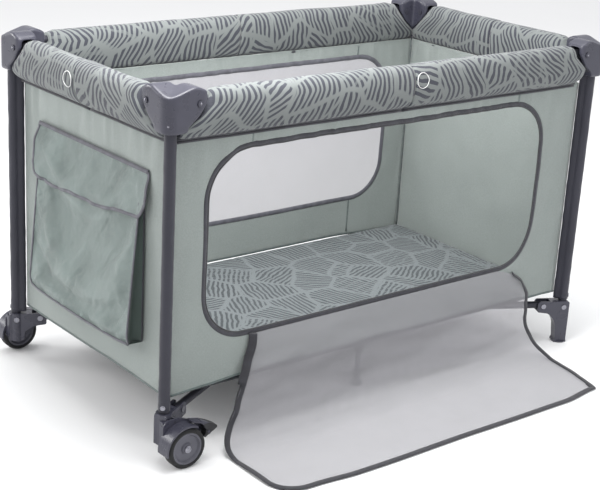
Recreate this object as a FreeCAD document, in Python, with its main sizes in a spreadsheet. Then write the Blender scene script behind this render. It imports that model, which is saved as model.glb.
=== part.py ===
"""Folding playpen: posts, folding half rails and base, wheels, soft walls and a mesh door.

Millimetres, +Z up, floor at z = 0, +X along the length, the door faces -Y.
The origin is on the floor under the middle of the outline, which the open door stretches forward.
"""
import FreeCAD, Part
import math
import os

from FreeCAD import Placement, Rotation, Vector

doc = FreeCAD.newDocument("Playpen")

# ---------------------------------------------------------------- driving dimensions
SIZES = {
    "centre_y": 101,          # middle of the posts, behind the middle of the outline
    "post_x": 610,            # half the distance between posts, along the length
    "post_y": 317.5,          # and across it
    "tube_radius": 10.5,      # posts and rails
    "tube_wall": 1.5,
    "post_low": 46,
    "post_high": 745,
    "pivot_z": 757,           # rail hinges
    "pivot_in": 50,           # from a post's axis to its rail hinges
    "latch_half": 75,         # from a long latch's middle to its hinges
    "fit_gap": 0.2,           # between pieces that are fastened together
    "turn_gap": 0.3,          # between pieces that turn on each other
    "pin_radius": 3,
    "pin_head": 6.5,
    "head_height": 2,
    "cap_half": 25,           # half the width of a corner cap's arm
    "cap_arm": 70,            # its length from the post's axis
    "cap_low": 700,
    "cap_high": 792,
    "cap_channel": 12.5,      # half the width of the slot that the rail swings in
    "arm_radius": 9,          # tubes of the base
    "arm_z": 100,
    "foot_pivot": 55,         # from a post's axis to its base hinge, along the diagonal
    "foot_half": 14,
    "foot_top": 112,
    "hub_radius": 98,
    "hub_height": 28,
    "mid_foot_y": 242,        # feet halfway along, from the middle
    "mid_foot_side": 16,      # and to either side of it, so that they pass each other
    "wheel_radius": 44,
    "wheel_width": 27,
    "wheel_in": 25,           # from the post's axis to the axle, along the length
    "wheel_out": 40.5,        # and outward, across it
    "rim_radius": 35,
    "axle_radius": 4,
    "cheek_in": 21,           # faces of the fork's cheek, from the post's axis
    "cheek_out": 25.5,
    "lever_in": 80,           # the brake lever's pivot, along from the post's axis
    "lever_z": 67.5,
    "pedal_wide": 18,
    "wall_thick": 3,
    "wall_low": 133,
    "wall_high": 679,
    "wall_x": 592,            # planes of the end walls
    "wall_y": 300,            # planes of the long walls
    "mesh_thick": 2,
    "floor_thick": 2.5,
    "floor_low": 130.5,
    "mattress_long": 1170,
    "mattress_wide": 580,
    "mattress_thick": 14,
    "mattress_low": 134.5,
    "sill_z": 232,            # hinge line of the door
    "door_length": 428,       # from the hinge line to the free edge
    "door_tilt": 24,          # of the hanging part, from upright, in degrees
    "pocket_wide": 416,
    "pocket_low": 223,
    "pocket_high": 563,
    "pocket_depth": 46,       # near its bottom
    "pocket_mouth": 18,       # and at the top
    "pocket_skin": 3,
    "flap_wide": 450,
    "flap_high": 594,
    "flap_low": 480,
    "flap_thick": 2.5,
}
sheet = doc.addObject("Spreadsheet::Sheet", "Sizes")
for row, (alias, value) in enumerate(SIZES.items(), start=1):
    sheet.set(f"A{row}", str(value))
    sheet.setAlias(f"A{row}", alias)
doc.recompute()


def size(alias):
    """The value of one cell."""
    return float(getattr(sheet, alias))


# ---------------------------------------------------------------- worked-out dimensions
# The frame keeps its proportions while it folds, so every linkage shares one ratio.
ASPECT = size("post_y") / size("post_x")
STRETCH = math.hypot(size("post_x"), size("post_y")) / size("post_x")
LONG_HALF = size("post_x") - size("pivot_in") - size("latch_half")
SHORT_HALF = ASPECT * LONG_HALF
SHORT_LATCH = size("post_y") - size("pivot_in") - SHORT_HALF
ARM_LENGTH = STRETCH * LONG_HALF
HUB_PIVOT = STRETCH * (size("pivot_in") + size("latch_half")) - size("foot_pivot")
DIAGONAL = math.degrees(math.atan2(size("post_y"), size("post_x")))
STUB = 10                     # tube beyond a hinge at its post
SHORT_STUB = 8                # and at its latch or hub
LATCH_WIDE = 28
LATCH_LOW, LATCH_FLOOR, LATCH_HIGH = 722, 740, 769
BUTTON = (12, 26, 13)         # across, along and up
BUTTON_DROP = 6               # it stands this far out of the latch
DOOR_EDGE = (-510, 480, 232, 650, 110)      # x low, x high, z low, z high, corner radius
WINDOW_EDGE = (-500, 506, 250, 641, 100)

UP = Vector(0, 0, 1)
# corner: signs of its post in x and y, turn of its cap about Z, inward diagonal
CORNERS = {
    "front_left": (-1, -1, 0, DIAGONAL),
    "front_right": (1, -1, 90, 180 - DIAGONAL),
    "back_right": (1, 1, 180, 180 + DIAGONAL),
    "back_left": (-1, 1, 270, -DIAGONAL),
}
# side: turn that takes +X to its outward direction, half its length between posts, its rail's sizes
SIDES = {
    "front": (-90, "post_y", "post_x", LONG_HALF, size("latch_half")),
    "back": (90, "post_y", "post_x", LONG_HALF, size("latch_half")),
    "left": (180, "post_x", "post_y", SHORT_HALF, SHORT_LATCH),
    "right": (0, "post_x", "post_y", SHORT_HALF, SHORT_LATCH),
}
nodes = {}


# ---------------------------------------------------------------- helpers
def at(x, y, z, turn=0.0):
    """A place in the playpen, measured from the floor under the middle of the posts."""
    return Placement(Vector(x, y + size("centre_y"), z), Rotation(UP, turn))


def cell(formula):
    """An expression over the sheet from a formula whose names are aliases."""
    for alias in sorted(SIZES, key=len, reverse=True):
        formula = formula.replace(alias, f"Sizes.{alias.upper()}")
    for alias in SIZES:
        formula = formula.replace(alias.upper(), alias)
    return formula


def primitive(kind, name, place, **sizes):
    """A Part primitive with its sizes bound to the sheet."""
    piece = doc.addObject(kind, name)
    for prop, formula in sizes.items():
        piece.setExpression(prop, cell(str(formula)))
    piece.Placement = place
    return piece


def rod(name, middle, direction, radius, half_length):
    """A cylinder centred on a point."""
    turn = Rotation(UP, direction)
    length = f"2 * ({half_length})"
    piece = primitive("Part::Cylinder", name, Placement(), Radius=radius, Height=length)
    doc.recompute([piece])
    start = middle - direction * (piece.Height.Value / 2)
    piece.Placement = Placement(start, turn)
    return piece


def block(name, place, low, high):
    """A box between two corners given in the frame of a placement."""
    piece = primitive("Part::Box", name, place.multiply(Placement(Vector(*low), Rotation())),
                      Length=high[0] - low[0], Width=high[1] - low[1], Height=high[2] - low[2])
    return piece


def fuse(name, *pieces):
    joined = doc.addObject("Part::MultiFuse", name)
    joined.Shapes = list(pieces)
    return joined


def cut(name, base, *tools):
    result = doc.addObject("Part::Cut", name)
    result.Base = base
    result.Tool = tools[0] if len(tools) == 1 else fuse(name + "_tools", *tools)
    return result


def common(name, *pieces):
    result = doc.addObject("Part::MultiCommon", name)
    result.Shapes = list(pieces)
    return result


def group(name, *pieces):
    """Separate solids that are one node."""
    result = doc.addObject("Part::Compound", name)
    result.Links = list(pieces)
    return result


def keep(label, piece):
    """Name a finished sub-part."""
    piece.Label = label
    nodes[label] = piece
    return piece


def rounded(points):
    """Sketch geometry of a closed outline of (x, y, corner radius) points."""
    corners = []
    count = len(points)
    for index, (x, y, radius) in enumerate(points):
        here = Vector(x, y, 0)
        back = Vector(*points[index - 1][:2], 0) - here
        ahead = Vector(*points[(index + 1) % count][:2], 0) - here
        if radius == 0:
            corners.append((here, None, here))
            continue
        half = back.getAngle(ahead) / 2
        reach = radius / math.tan(half)
        back.normalize()
        ahead.normalize()
        inward = back + ahead
        inward.normalize()
        middle = here + inward * (radius / math.sin(half) - radius)
        corners.append((here + back * reach, middle, here + ahead * reach))
    geometry = []
    for index, (start, middle, end) in enumerate(corners):
        if middle is not None:
            geometry.append(Part.Arc(start, middle, end))
        next_start = corners[(index + 1) % count][0]
        if (next_start - end).Length > 1e-6:
            geometry.append(Part.LineSegment(end, next_start))
    return geometry


def sketched(name, plane, wires):
    """A PartDesign body that holds one sketch on an origin plane."""
    body = doc.addObject("PartDesign::Body", name)
    sketch = body.newObject("Sketcher::SketchObject", name + "_sketch")
    support = next(f for f in body.Origin.OriginFeatures if f.Role == plane)
    sketch.AttachmentSupport = [(support, "")]
    sketch.MapMode = "FlatFace"
    for wire in wires:
        sketch.addGeometry(rounded(wire), False)
    return body, sketch


def plate(name, place, thickness, outline, *holes, plane="XZ_Plane"):
    """A padded outline with its middle on the sketch plane."""
    body, sketch = sketched(name, plane, (outline, *holes))
    pad = body.newObject("PartDesign::Pad", name + "_pad")
    pad.Profile = sketch
    pad.setExpression("Length", cell(str(thickness)))
    pad.SideType = "Symmetric"
    body.Placement = place
    return body


def turned(name, place, outline):
    """An outline of (radius, height) points turned about Z."""
    body, sketch = sketched(name, "XZ_Plane", (outline,))
    turn = body.newObject("PartDesign::Revolution", name + "_turn")
    turn.Profile = sketch
    turn.ReferenceAxis = (sketch, ["V_Axis"])
    turn.Angle = 360
    body.Placement = place
    return body


def rivet(name, middle, direction, half_length):
    """A headed pin through two cheeks, half_length from its middle to the underside of a head."""
    shank = rod(name + "_shank", middle, direction, "pin_radius", half_length)
    doc.recompute([shank])
    reach = shank.Height.Value / 2
    heads = [
        rod(f"{name}_head{end}", middle + direction * (end * (reach + size("head_height") / 2)),
            direction, "pin_head", "head_height / 2")
        for end in (-1, 1)
    ]
    return fuse(name, shank, *heads)


def heading(angle):
    """A level unit vector."""
    return Vector(math.cos(math.radians(angle)), math.sin(math.radians(angle)), 0)


def post_place(corner):
    sign_x, sign_y, turn, _ = CORNERS[corner]
    return at(sign_x * size("post_x"), sign_y * size("post_y"), 0, turn)


# ---------------------------------------------------------------- posts with their rivets
def post(corner):
    sign_x, sign_y, turn, diagonal = CORNERS[corner]
    foot = at(sign_x * size("post_x"), sign_y * size("post_y"), 0).Base
    name = "post_" + corner
    height = "post_high - post_low"
    low = Placement(foot + UP * size("post_low"), Rotation())
    outer = primitive("Part::Cylinder", name + "_outer", low, Radius="tube_radius", Height=height)
    inner = primitive("Part::Cylinder", name + "_inner", low,
                      Radius="tube_radius - tube_wall", Height=height)
    across = heading(diagonal + 90)
    base_pin = foot + UP * (size("arm_z") - 3)
    hole = rod(name + "_hole", base_pin, across, "pin_radius + fit_gap", "foot_half * 2")
    steel = [cut(name + "_tube", outer, inner, hole)]
    for arm, angle in enumerate((turn, turn + 90)):
        place = foot + heading(angle) * size("pivot_in") + UP * size("pivot_z")
        steel.append(rivet(f"{name}_rivet{arm}", place, heading(angle + 90), "cap_half + fit_gap"))
    steel.append(rivet(name + "_base_rivet", base_pin, across, "foot_half + fit_gap"))
    arm_pin = foot + heading(diagonal) * size("foot_pivot") + UP * size("arm_z")
    steel.append(rivet(name + "_arm_rivet", arm_pin, across, "foot_half + fit_gap"))
    if sign_x < 0:
        steel.append(axle(name, foot, sign_y))
    keep(name, group(name, *steel))


def axle(name, foot, sign_y):
    """The wheel's bolt, which sticks out of the fork."""
    outward = Vector(0, sign_y, 0)
    inner, outer = size("cheek_in"), size("wheel_out") + size("wheel_width") / 2 + 0.7
    centre = foot + Vector(size("wheel_in"), 0, size("wheel_radius"))
    shank = rod(name + "_axle", centre + outward * ((inner + outer) / 2), outward,
                "axle_radius", (outer - inner) / 2)
    head = turned(name + "_bolt_head", Placement(centre + outward * outer, Rotation(UP, outward)),
                  [(0, 0, 0), (8, 0, 0), (8, 1.2, 1), (3.5, 2.8, 2), (0, 2.8, 0)])
    return fuse(name + "_axle_bolt", shank, head)


# ---------------------------------------------------------------- corner caps
def cap(corner):
    """A plastic corner with an arm along each rail, open below so that the rails swing down."""
    name = "cap_" + corner
    place = post_place(corner)
    half, reach, slot = size("cap_half"), size("cap_arm"), size("cap_channel")
    low, high = size("cap_low"), size("cap_high")
    side = [(-half, low, 6), (12, low, 8), (50, low + 30, 60), (reach, low + 58, 8),
            (reach, high - 12, 9), (reach - 28, high, 30), (-half, high - 22, 5)]
    arms = []
    for arm in (0, 1):
        turned_place = place.multiply(Placement(Vector(), Rotation(UP, 90 * arm)))
        arms.append(plate(f"{name}_arm{arm}", turned_place, "2 * cap_half", side))
    plan = [(-half, -half, half - 1), (reach, -half, 9), (reach, half, 9), (half, half, 12),
            (half, reach, 9), (-half, reach, 9)]
    middle = place.multiply(Placement(Vector(0, 0, (low + high) / 2), Rotation()))
    tower = plate(name + "_plan", middle, 2 * (high - low), plan, plane="XY_Plane")
    solid = common(name + "_solid", fuse(name + "_arms", *arms), tower)
    bore = primitive("Part::Cylinder", name + "_bore",
                     place.multiply(Placement(Vector(0, 0, low - 5), Rotation())),
                     Radius="tube_radius + fit_gap", Height=size("post_high") + 1 - low + 5)
    tools = [bore]
    for arm in (0, 1):
        turned_place = place.multiply(Placement(Vector(), Rotation(UP, 90 * arm)))
        tools.append(block(f"{name}_slot{arm}", turned_place, (32, -slot, low - 5),
                           (reach + 10, slot, high - 18)))
        hinge = turned_place.multVec(Vector(size("pivot_in"), 0, size("pivot_z")))
        across = turned_place.Rotation.multVec(Vector(0, 1, 0))
        tools.append(rod(f"{name}_pin_hole{arm}", hinge, across, "pin_radius + fit_gap", half * 2))
    keep(name, cut(name, solid, *tools))


# ---------------------------------------------------------------- feet and caster housings
def foot_tools(name, place, bottom):
    """What is taken out of a foot: the post's bore, the arm's slot and the rivets' holes."""
    slot = size("arm_radius") + 1.2
    bore = primitive("Part::Cylinder", name + "_bore",
                     place.multiply(Placement(Vector(0, 0, bottom), Rotation())),
                     Radius="tube_radius + fit_gap", Height=2 * size("foot_top"))
    channel = block(name + "_slot", place, (36, -slot, 84), (90, slot, 130))
    across = place.Rotation.multVec(Vector(0, 1, 0))
    holes = [
        rod(f"{name}_hole{index}", place.multVec(Vector(along, 0, level)), across,
            "pin_radius + fit_gap", "foot_half * 2")
        for index, (along, level) in enumerate(((0, size("arm_z") - 3),
                                                (size("foot_pivot"), size("arm_z"))))
    ]
    return [bore, channel, *holes]


def foot(corner):
    """A plastic foot under a right-hand post, waisted below and flared at the floor."""
    sign_x, sign_y, _, diagonal = CORNERS[corner]
    name = "foot_" + corner
    place = at(sign_x * size("post_x"), sign_y * size("post_y"), 0, diagonal)
    top = size("foot_top")
    side = [(-16, 0, 1), (17, 0, 1), (17, 5, 1), (14, 8, 3), (19, 58, 40), (40, 80, 20),
            (70, 84, 5), (70, top, 8), (-15, top, 5), (-15, 8, 3), (-16, 4, 1)]
    solid = plate(name + "_side", place, "2 * foot_half", side)
    flange = primitive("Part::Cylinder", name + "_flange", place, Radius=19, Height=4)
    keep(name, cut(name, fuse(name + "_solid", solid, flange),
                   *foot_tools(name, place, size("post_low") - 1)))


def caster_fork(corner):
    """The housing of a left-hand post: the arm's hinge inside, wheel plate and fender outside."""
    sign_x, sign_y, _, diagonal = CORNERS[corner]
    name = "caster_fork_" + corner
    axis = at(sign_x * size("post_x"), sign_y * size("post_y"), 0)
    place = axis.multiply(Placement(Vector(), Rotation(UP, diagonal)))
    top = size("foot_top")
    bottom = size("post_low") - 2
    side = [(-16, bottom, 4), (16, bottom, 4), (19, 66, 8), (40, 80, 14), (70, 84, 5),
            (70, top, 8), (-16, top, 6)]
    housing = plate(name + "_housing", place, "2 * foot_half", side)
    sleeve = primitive("Part::Cylinder", name + "_sleeve",
                       axis.multiply(Placement(Vector(0, 0, bottom), Rotation())),
                       Radius="cap_half - 8", Height="foot_top - post_low + 2")
    # the wheel side, drawn for the front and reflected for the back
    inner, outer = size("cheek_in"), size("cheek_out")
    cheek_y = sign_y * (inner + outer) / 2
    cheek_place = axis.multiply(Placement(Vector(0, cheek_y, 0), Rotation()))
    cheek = plate(name + "_cheek", cheek_place, outer - inner,
                  [(-18, 104, 16), (-18, 46, 12), (10, 30, 12), (38, 28, 12), (58, 54, 20),
                   (91, 56, 10), (91, 79, 10), (58, 90, 30), (22, 104, 30)])
    bridge_low, bridge_high = sorted((sign_y * 8, sign_y * inner))
    bridge = block(name + "_bridge", axis, (-16, bridge_low, 50), (16, bridge_high, 100))
    centre = axis.multVec(Vector(size("wheel_in"), 0, size("wheel_radius")))
    outward = Vector(0, sign_y, 0)
    half_width = 17.5
    fender_middle = centre + outward * (inner + half_width)
    ring = cut(name + "_ring",
               rod(name + "_ring_outer", fender_middle, outward, "wheel_radius + 8", half_width),
               rod(name + "_ring_inner", fender_middle, outward, "wheel_radius + 4", half_width + 1))
    shield_low, shield_high = sorted((sign_y * 20, sign_y * 60))
    shield = block(name + "_shield", axis, (-30, shield_low, 38), (48, shield_high, 100))
    fender = common(name + "_fender", ring, shield)
    pin_reach = 12.0
    lever_pin = rod(name + "_lever_pin", lever_pivot(axis) + outward * (outer + pin_reach - 0.5),
                    outward, "pin_radius", pin_reach)
    solid = fuse(name + "_solid", housing, sleeve, cheek, bridge, fender, lever_pin)
    tools = foot_tools(name, place, size("post_low") - 1)
    tools.append(rod(name + "_axle_hole", centre + outward * inner, outward,
                     "axle_radius + fit_gap", 8))
    across = place.Rotation.multVec(Vector(0, 1, 0))
    recess = 5.0
    for end in (-1, 1):
        head = place.multVec(Vector(0, end * (size("foot_half") + recess), size("arm_z") - 3))
        tools.append(rod(f"{name}_recess{end}", head, across, "pin_head + 1", recess))
    keep(name, cut(name, solid, *tools))


def lever_pivot(axis):
    """Where the brake lever turns, in the plane of the post."""
    return axis.multVec(Vector(size("lever_in"), 0, size("lever_z")))


def wheel(corner):
    """A plastic disc on the axle and the tyre around it."""
    sign_x, sign_y, _, _ = CORNERS[corner]
    centre = at(sign_x * size("post_x") + size("wheel_in"),
                sign_y * (size("post_y") + size("wheel_out")), size("wheel_radius")).Base
    place = Placement(centre, Rotation(UP, Vector(0, sign_y, 0)))
    half = size("wheel_width") / 2
    bore = size("axle_radius") + 0.1
    rim, radius = size("rim_radius"), size("wheel_radius")
    side = [(bore, half - 1), (11, half - 1), (13, 8), (28, 7), (31, 11.5), (rim, 11.5)]
    disc = [(r, -w, 0) for r, w in side] + [(r, w, 0) for r, w in reversed(side)]
    keep("wheel_disc_" + corner, turned("wheel_disc_" + corner, place, disc))
    tyre = [(rim + 0.1, -half + 1, 0), (rim + 4, -half, 2), (radius, -half + 3, 4),
            (radius, half - 3, 4), (rim + 4, half, 2), (rim + 0.1, half - 1, 0)]
    keep("tyre_" + corner, turned("tyre_" + corner, place, tyre))


def brake_lever(corner):
    """A pedal arched over the fender, whose heel swings to the tyre when the toe is pressed."""
    sign_x, sign_y, _, _ = CORNERS[corner]
    name = "brake_lever_" + corner
    axis = at(sign_x * size("post_x"), sign_y * size("post_y"), 0)
    outward = Vector(0, sign_y, 0)
    pivot = lever_pivot(axis)
    middle = pivot + outward * (size("wheel_out") - 2)
    place = Placement(middle, Rotation())
    boss = rod(name + "_boss", middle, outward, 7, "pedal_wide / 2")
    pedal = plate(name + "_pedal", place, "pedal_wide",
                  [(-42, 30.5, 1), (-16, 22, 12), (-5, 5, 2), (3, -5, 2), (12, -1, 4), (21, 4, 1.5),
                   (21, 9, 2), (2, 20, 14), (-16, 27.5, 14), (-42, 34, 1)])
    heel = plate(name + "_heel", place, "pedal_wide - 2",
                 [(1, 5, 0), (-11, -9.2, 2), (-7.5, -13, 2), (6, -3, 0)])
    bore = rod(name + "_bore", middle, outward, "pin_radius + turn_gap", 14)
    keep(name, cut(name, fuse(name + "_solid", boss, pedal, heel), bore))


# ---------------------------------------------------------------- rails, covers and latches
def side_place(side):
    """The middle of a rail: +X outward and +Y along it."""
    angle, across, _, _, _ = SIDES[side]
    outward = heading(angle) * size(across)
    return at(outward.x, outward.y, 0, angle)


def rail_names(side):
    """The half rails' names with the sign of each along the side's +Y."""
    ends = {"front": ("left", "right"), "back": ("right", "left"),
            "right": ("front", "back"), "left": ("back", "front")}[side]
    return [(f"{side}_{ends[0]}", -1), (f"{side}_{ends[1]}", 1)]


def rails(side):
    """Two half tubes, each with the pin that joins it to the latch."""
    _, _, _, length, latch = SIDES[side]
    place = side_place(side)
    along = place.Rotation.multVec(Vector(0, 1, 0))
    across = place.Rotation.multVec(Vector(1, 0, 0))
    for half_name, sign in rail_names(side):
        name = "rail_" + half_name
        low, high = latch - SHORT_STUB, latch + length + STUB
        middle = place.multVec(Vector(0, sign * (low + high) / 2, size("pivot_z")))
        reach = (high - low) / 2
        outer = rod(name + "_outer", middle, along, "tube_radius", reach)
        inner = rod(name + "_inner", middle, along, "tube_radius - tube_wall", reach + 1)
        post_hinge = place.multVec(Vector(0, sign * (latch + length), size("pivot_z")))
        latch_hinge = place.multVec(Vector(0, sign * latch, size("pivot_z")))
        post_hole = rod(name + "_post_hole", post_hinge, across, "pin_radius + turn_gap", 20)
        pin_hole = rod(name + "_pin_hole", latch_hinge, across, "pin_radius + 0.05", 20)
        tube = cut(name + "_tube", outer, inner, post_hole, pin_hole)
        pin = rivet(name + "_pin", latch_hinge, across, LATCH_WIDE / 2 + 0.3)
        keep(name, group(name, tube, pin))


def cover(side):
    """Padded sleeves over both half rails, pinched to a piping where they meet the wall."""
    _, across, _, length, latch = SIDES[side]
    place = side_place(side)
    wall = size(across.replace("post", "wall")) - size(across)
    low, high = size("wall_high") + 1.5, 777
    outline = [(wall, low, 0), (wall + 4, low, 0), (16, low + 17, 20), (27.5, 725, 20),
               (27, 757, 16), (16, high, 12), (-15, high, 12), (-28, 757, 16), (-30, 725, 20),
               (-24, low + 17, 20)]
    hollow = [(-18.5, 715, 0), (18.5, 715, 0), (18.5, 768, 3), (15, 771, 3), (-15, 771, 3),
              (-18.5, 768, 3)]
    start, end = 1.0, size(SIDES[side][2]) - size("cap_arm") - 4
    for half_name, sign in rail_names(side):
        middle = place.multiply(Placement(Vector(0, sign * (start + end) / 2, 0), Rotation()))
        name = "cover_" + half_name
        keep(name, plate(name, middle, end - start, outline, hollow))


def latch(side):
    """The joint in the middle of a rail: a housing open on top and a sprung button below."""
    _, _, _, _, half = SIDES[side]
    name = "latch_" + side
    place = side_place(side)
    reach, cheek = half + 16, LATCH_WIDE / 2
    body = plate(name + "_body", place.multiply(Placement(Vector(), Rotation(UP, 90))), LATCH_WIDE,
                 [(-reach, LATCH_LOW + 12, 10), (-reach + 14, LATCH_LOW, 6),
                  (reach - 14, LATCH_LOW, 6), (reach, LATCH_LOW + 12, 10),
                  (reach, LATCH_HIGH, 5), (-reach, LATCH_HIGH, 5)])
    inside = size("tube_radius") + 1
    tools = []
    for sign in (-1, 1):
        near, far = sorted((sign * max(half - 20, -0.5), sign * (reach + 5)))
        tools.append(block(f"{name}_slot{sign}", place, (-inside, near, LATCH_FLOOR),
                           (inside, far, LATCH_HIGH + 5)))
        hinge = place.multVec(Vector(0, sign * half, size("pivot_z")))
        across = place.Rotation.multVec(Vector(1, 0, 0))
        tools.append(rod(f"{name}_hole{sign}", hinge, across, "pin_radius + turn_gap", cheek * 2))
    wide, long, tall = BUTTON
    tools.append(block(name + "_pocket", place, (-wide / 2 - 0.5, -long / 2 - 0.5, LATCH_LOW - 5),
                       (wide / 2 + 0.5, long / 2 + 0.5, LATCH_LOW + tall + 1)))
    keep(name, cut(name, body, *tools))
    base = LATCH_LOW - BUTTON_DROP
    outline = [(-long / 2, base, 3), (long / 2, base, 3), (long / 2, base + tall, 0),
               (-long / 2, base + tall, 0)]
    button_name = "latch_button_" + side
    keep(button_name, plate(button_name, place.multiply(Placement(Vector(), Rotation(UP, 90))),
                            wide, outline))


# ---------------------------------------------------------------- base
def hub():
    """The plate in the middle of the base, slotted for four arms and two middle legs."""
    height = size("hub_height")
    disc = primitive("Part::Cylinder", "hub_disc", at(0, 0, size("arm_z") - height / 2),
                     Radius="hub_radius", Height="hub_height")
    dome = primitive("Part::Cone", "hub_dome", at(0, 0, size("arm_z") + height / 2),
                     Radius1=58, Radius2=46, Height=6)
    slot = size("arm_radius") + 1.2
    tools = []
    for corner, (_, _, _, diagonal) in CORNERS.items():
        place = at(0, 0, size("arm_z"), diagonal + 180)
        tools.append(block(f"hub_slot_{corner}", place, (66, -slot, -40), (120, slot, 40)))
        across = place.Rotation.multVec(Vector(0, 1, 0))
        tools.append(rod(f"hub_hole_{corner}", place.multVec(Vector(HUB_PIVOT, 0, 0)), across,
                         "pin_radius + 0.5", 17))
    for name, (x, y, angle) in mid_pivots().items():
        place = at(x, 0, size("arm_z"), angle)
        tools.append(block(f"hub_slot_{name}", place, (66, -slot, -40), (120, slot, 40)))
        across = place.Rotation.multVec(Vector(0, 1, 0))
        tools.append(rod(f"hub_hole_{name}", at(x, y, size("arm_z")).Base, across,
                         "pin_radius + turn_gap", 17))
    keep("hub", cut("hub", fuse("hub_solid", disc, dome), *tools))


def mid_pivots():
    """The middle legs' hinges on the hub, each with the direction it points in."""
    side = size("mid_foot_side")
    return {"front": (-side, -HUB_PIVOT, -90), "back": (side, HUB_PIVOT, 90)}


def base_tube(name, place, start, end, holes):
    """A tube along the placement's +X between two reaches, drilled across."""
    along = place.Rotation.multVec(Vector(1, 0, 0))
    across = place.Rotation.multVec(Vector(0, 1, 0))
    middle = place.multVec(Vector((start + end) / 2, 0, 0))
    reach = (end - start) / 2
    outer = rod(name + "_outer", middle, along, "arm_radius", reach)
    inner = rod(name + "_inner", middle, along, "arm_radius - tube_wall", reach + 1)
    tools = [
        rod(f"{name}_hole{index}", place.multVec(Vector(spot, 0, 0)), across, radius, 14)
        for index, (spot, radius) in enumerate(holes)
    ]
    return cut(name + "_tube", outer, inner, *tools)


def headless_pin(name, place, spot):
    across = place.Rotation.multVec(Vector(0, 1, 0))
    return rod(name + "_pin", place.multVec(Vector(spot, 0, 0)), across, "pin_radius", 15)


def base_arm(corner):
    """A diagonal tube from a foot to the hub."""
    sign_x, sign_y, _, diagonal = CORNERS[corner]
    name = "base_arm_" + corner
    post_axis = at(sign_x * size("post_x"), sign_y * size("post_y"), size("arm_z"), diagonal)
    place = post_axis.multiply(Placement(Vector(size("foot_pivot"), 0, 0), Rotation()))
    tube = base_tube(name, place, -STUB, ARM_LENGTH + SHORT_STUB,
                     [(0, "pin_radius + turn_gap"), (ARM_LENGTH, "pin_radius + 0.05")])
    keep(name, group(name, tube, headless_pin(name, place, ARM_LENGTH)))


def mid_leg(side):
    """A short tube hinged on the hub with a stem and a cup on the floor."""
    x, y, angle = mid_pivots()[side]
    name = "mid_leg_" + side
    place = at(x, y, size("arm_z"), angle)
    length = size("mid_foot_y") - HUB_PIVOT
    tube = base_tube(name, place, -SHORT_STUB, length - 9, [(0, "pin_radius + 0.05")])
    stand = place.multiply(Placement(Vector(length, 0, -size("arm_z")), Rotation()))
    top = size("arm_z") + 11
    stem = turned(name + "_stem", stand,
                  [(0, 0, 0), (14, 0, 1.5), (14, 7, 3), (6.5, 16, 8), (6.5, 80, 6), (10.5, 88, 3),
                   (10.5, top, 3), (0, top, 0)])
    keep(name, group(name, fuse(name + "_solid", tube, stem), headless_pin(name, place, 0)))


# ---------------------------------------------------------------- soft parts
def rectangle(x0, x1, z0, z1, radius=0.0):
    return [(x0, z0, radius), (x1, z0, radius), (x1, z1, radius), (x0, z1, radius)]


def walls():
    half = size("wall_x") - 2
    panel = rectangle(-half, half, size("wall_low"), size("wall_high"), 6)
    keep("wall_front", plate("wall_front", at(0, -size("wall_y"), 0), "wall_thick", panel,
                             rectangle(*DOOR_EDGE)))
    keep("wall_back", plate("wall_back", at(0, size("wall_y"), 0), "wall_thick", panel,
                            rectangle(*WINDOW_EDGE)))
    x0, x1, z0, z1, radius = WINDOW_EDGE
    mesh = rectangle(x0 + 0.5, x1 - 0.5, z0 + 0.5, z1 - 0.5, radius - 0.5)
    keep("window_back", plate("window_back", at(0, size("wall_y"), 0), "mesh_thick", mesh))
    half = size("wall_y") - 5
    end = rectangle(-half, half, size("wall_low"), size("wall_high"), 6)
    for side, sign in (("left", -1), ("right", 1)):
        keep("wall_" + side, plate("wall_" + side, at(sign * size("wall_x"), 0, 0, 90),
                                   "wall_thick", end))


def floor_and_mattress():
    inset = 4.5
    low = at(-size("wall_x") + inset, -size("wall_y") + inset, size("floor_low"))
    keep("floor_sheet", primitive("Part::Box", "floor_sheet", low, Length=f"2 * (wall_x - {inset})",
                                  Width=f"2 * (wall_y - {inset})", Height="floor_thick"))
    corner = at(-size("mattress_long") / 2, -size("mattress_wide") / 2, size("mattress_low"))
    slab = primitive("Part::Box", "mattress_slab", corner, Length="mattress_long",
                     Width="mattress_wide", Height="mattress_thick")
    doc.recompute([slab])
    rounding = doc.addObject("Part::Fillet", "mattress")
    rounding.Base = slab
    upright = [index for index, edge in enumerate(slab.Shape.Edges, start=1)
               if abs(edge.tangentAt(edge.FirstParameter).z) > 0.9]
    rounding.Edges = [(index, 25.0, 25.0) for index in upright]
    keep("mattress", rounding)


def door():
    """The mesh door let down: one part hangs from the sill and the other lies on the floor."""
    x0, x1, _, _, radius = DOOR_EDGE
    thick = size("mesh_thick")
    hinge_y = -(size("wall_y") + size("wall_thick") / 2 + thick / 2 + 2)
    knee_z = thick / 2 + 0.5
    tilt = math.radians(size("door_tilt"))
    hanging = (size("sill_z") - knee_z) / math.cos(tilt)
    gap = 2.0
    place = Placement(at(0, hinge_y, size("sill_z")).Base,
                      Rotation(Vector(1, 0, 0), 270 - size("door_tilt")))
    upper = [(x0, gap, radius), (x1, gap, radius), (x1, hanging - gap, 0), (x0, hanging - gap, 0)]
    keep("door_upper", plate("door_upper", place, "mesh_thick", upper, plane="XY_Plane"))
    lying = size("door_length") - hanging
    place = Placement(at(0, hinge_y - hanging * math.sin(tilt), knee_z).Base,
                      Rotation(Vector(1, 0, 0), 180))
    lower = [(x0, gap, 0), (x1, gap, 0), (x1, lying, radius), (x0, lying, radius)]
    keep("door_lower", plate("door_lower", place, "mesh_thick", lower, plane="XY_Plane"))


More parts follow.
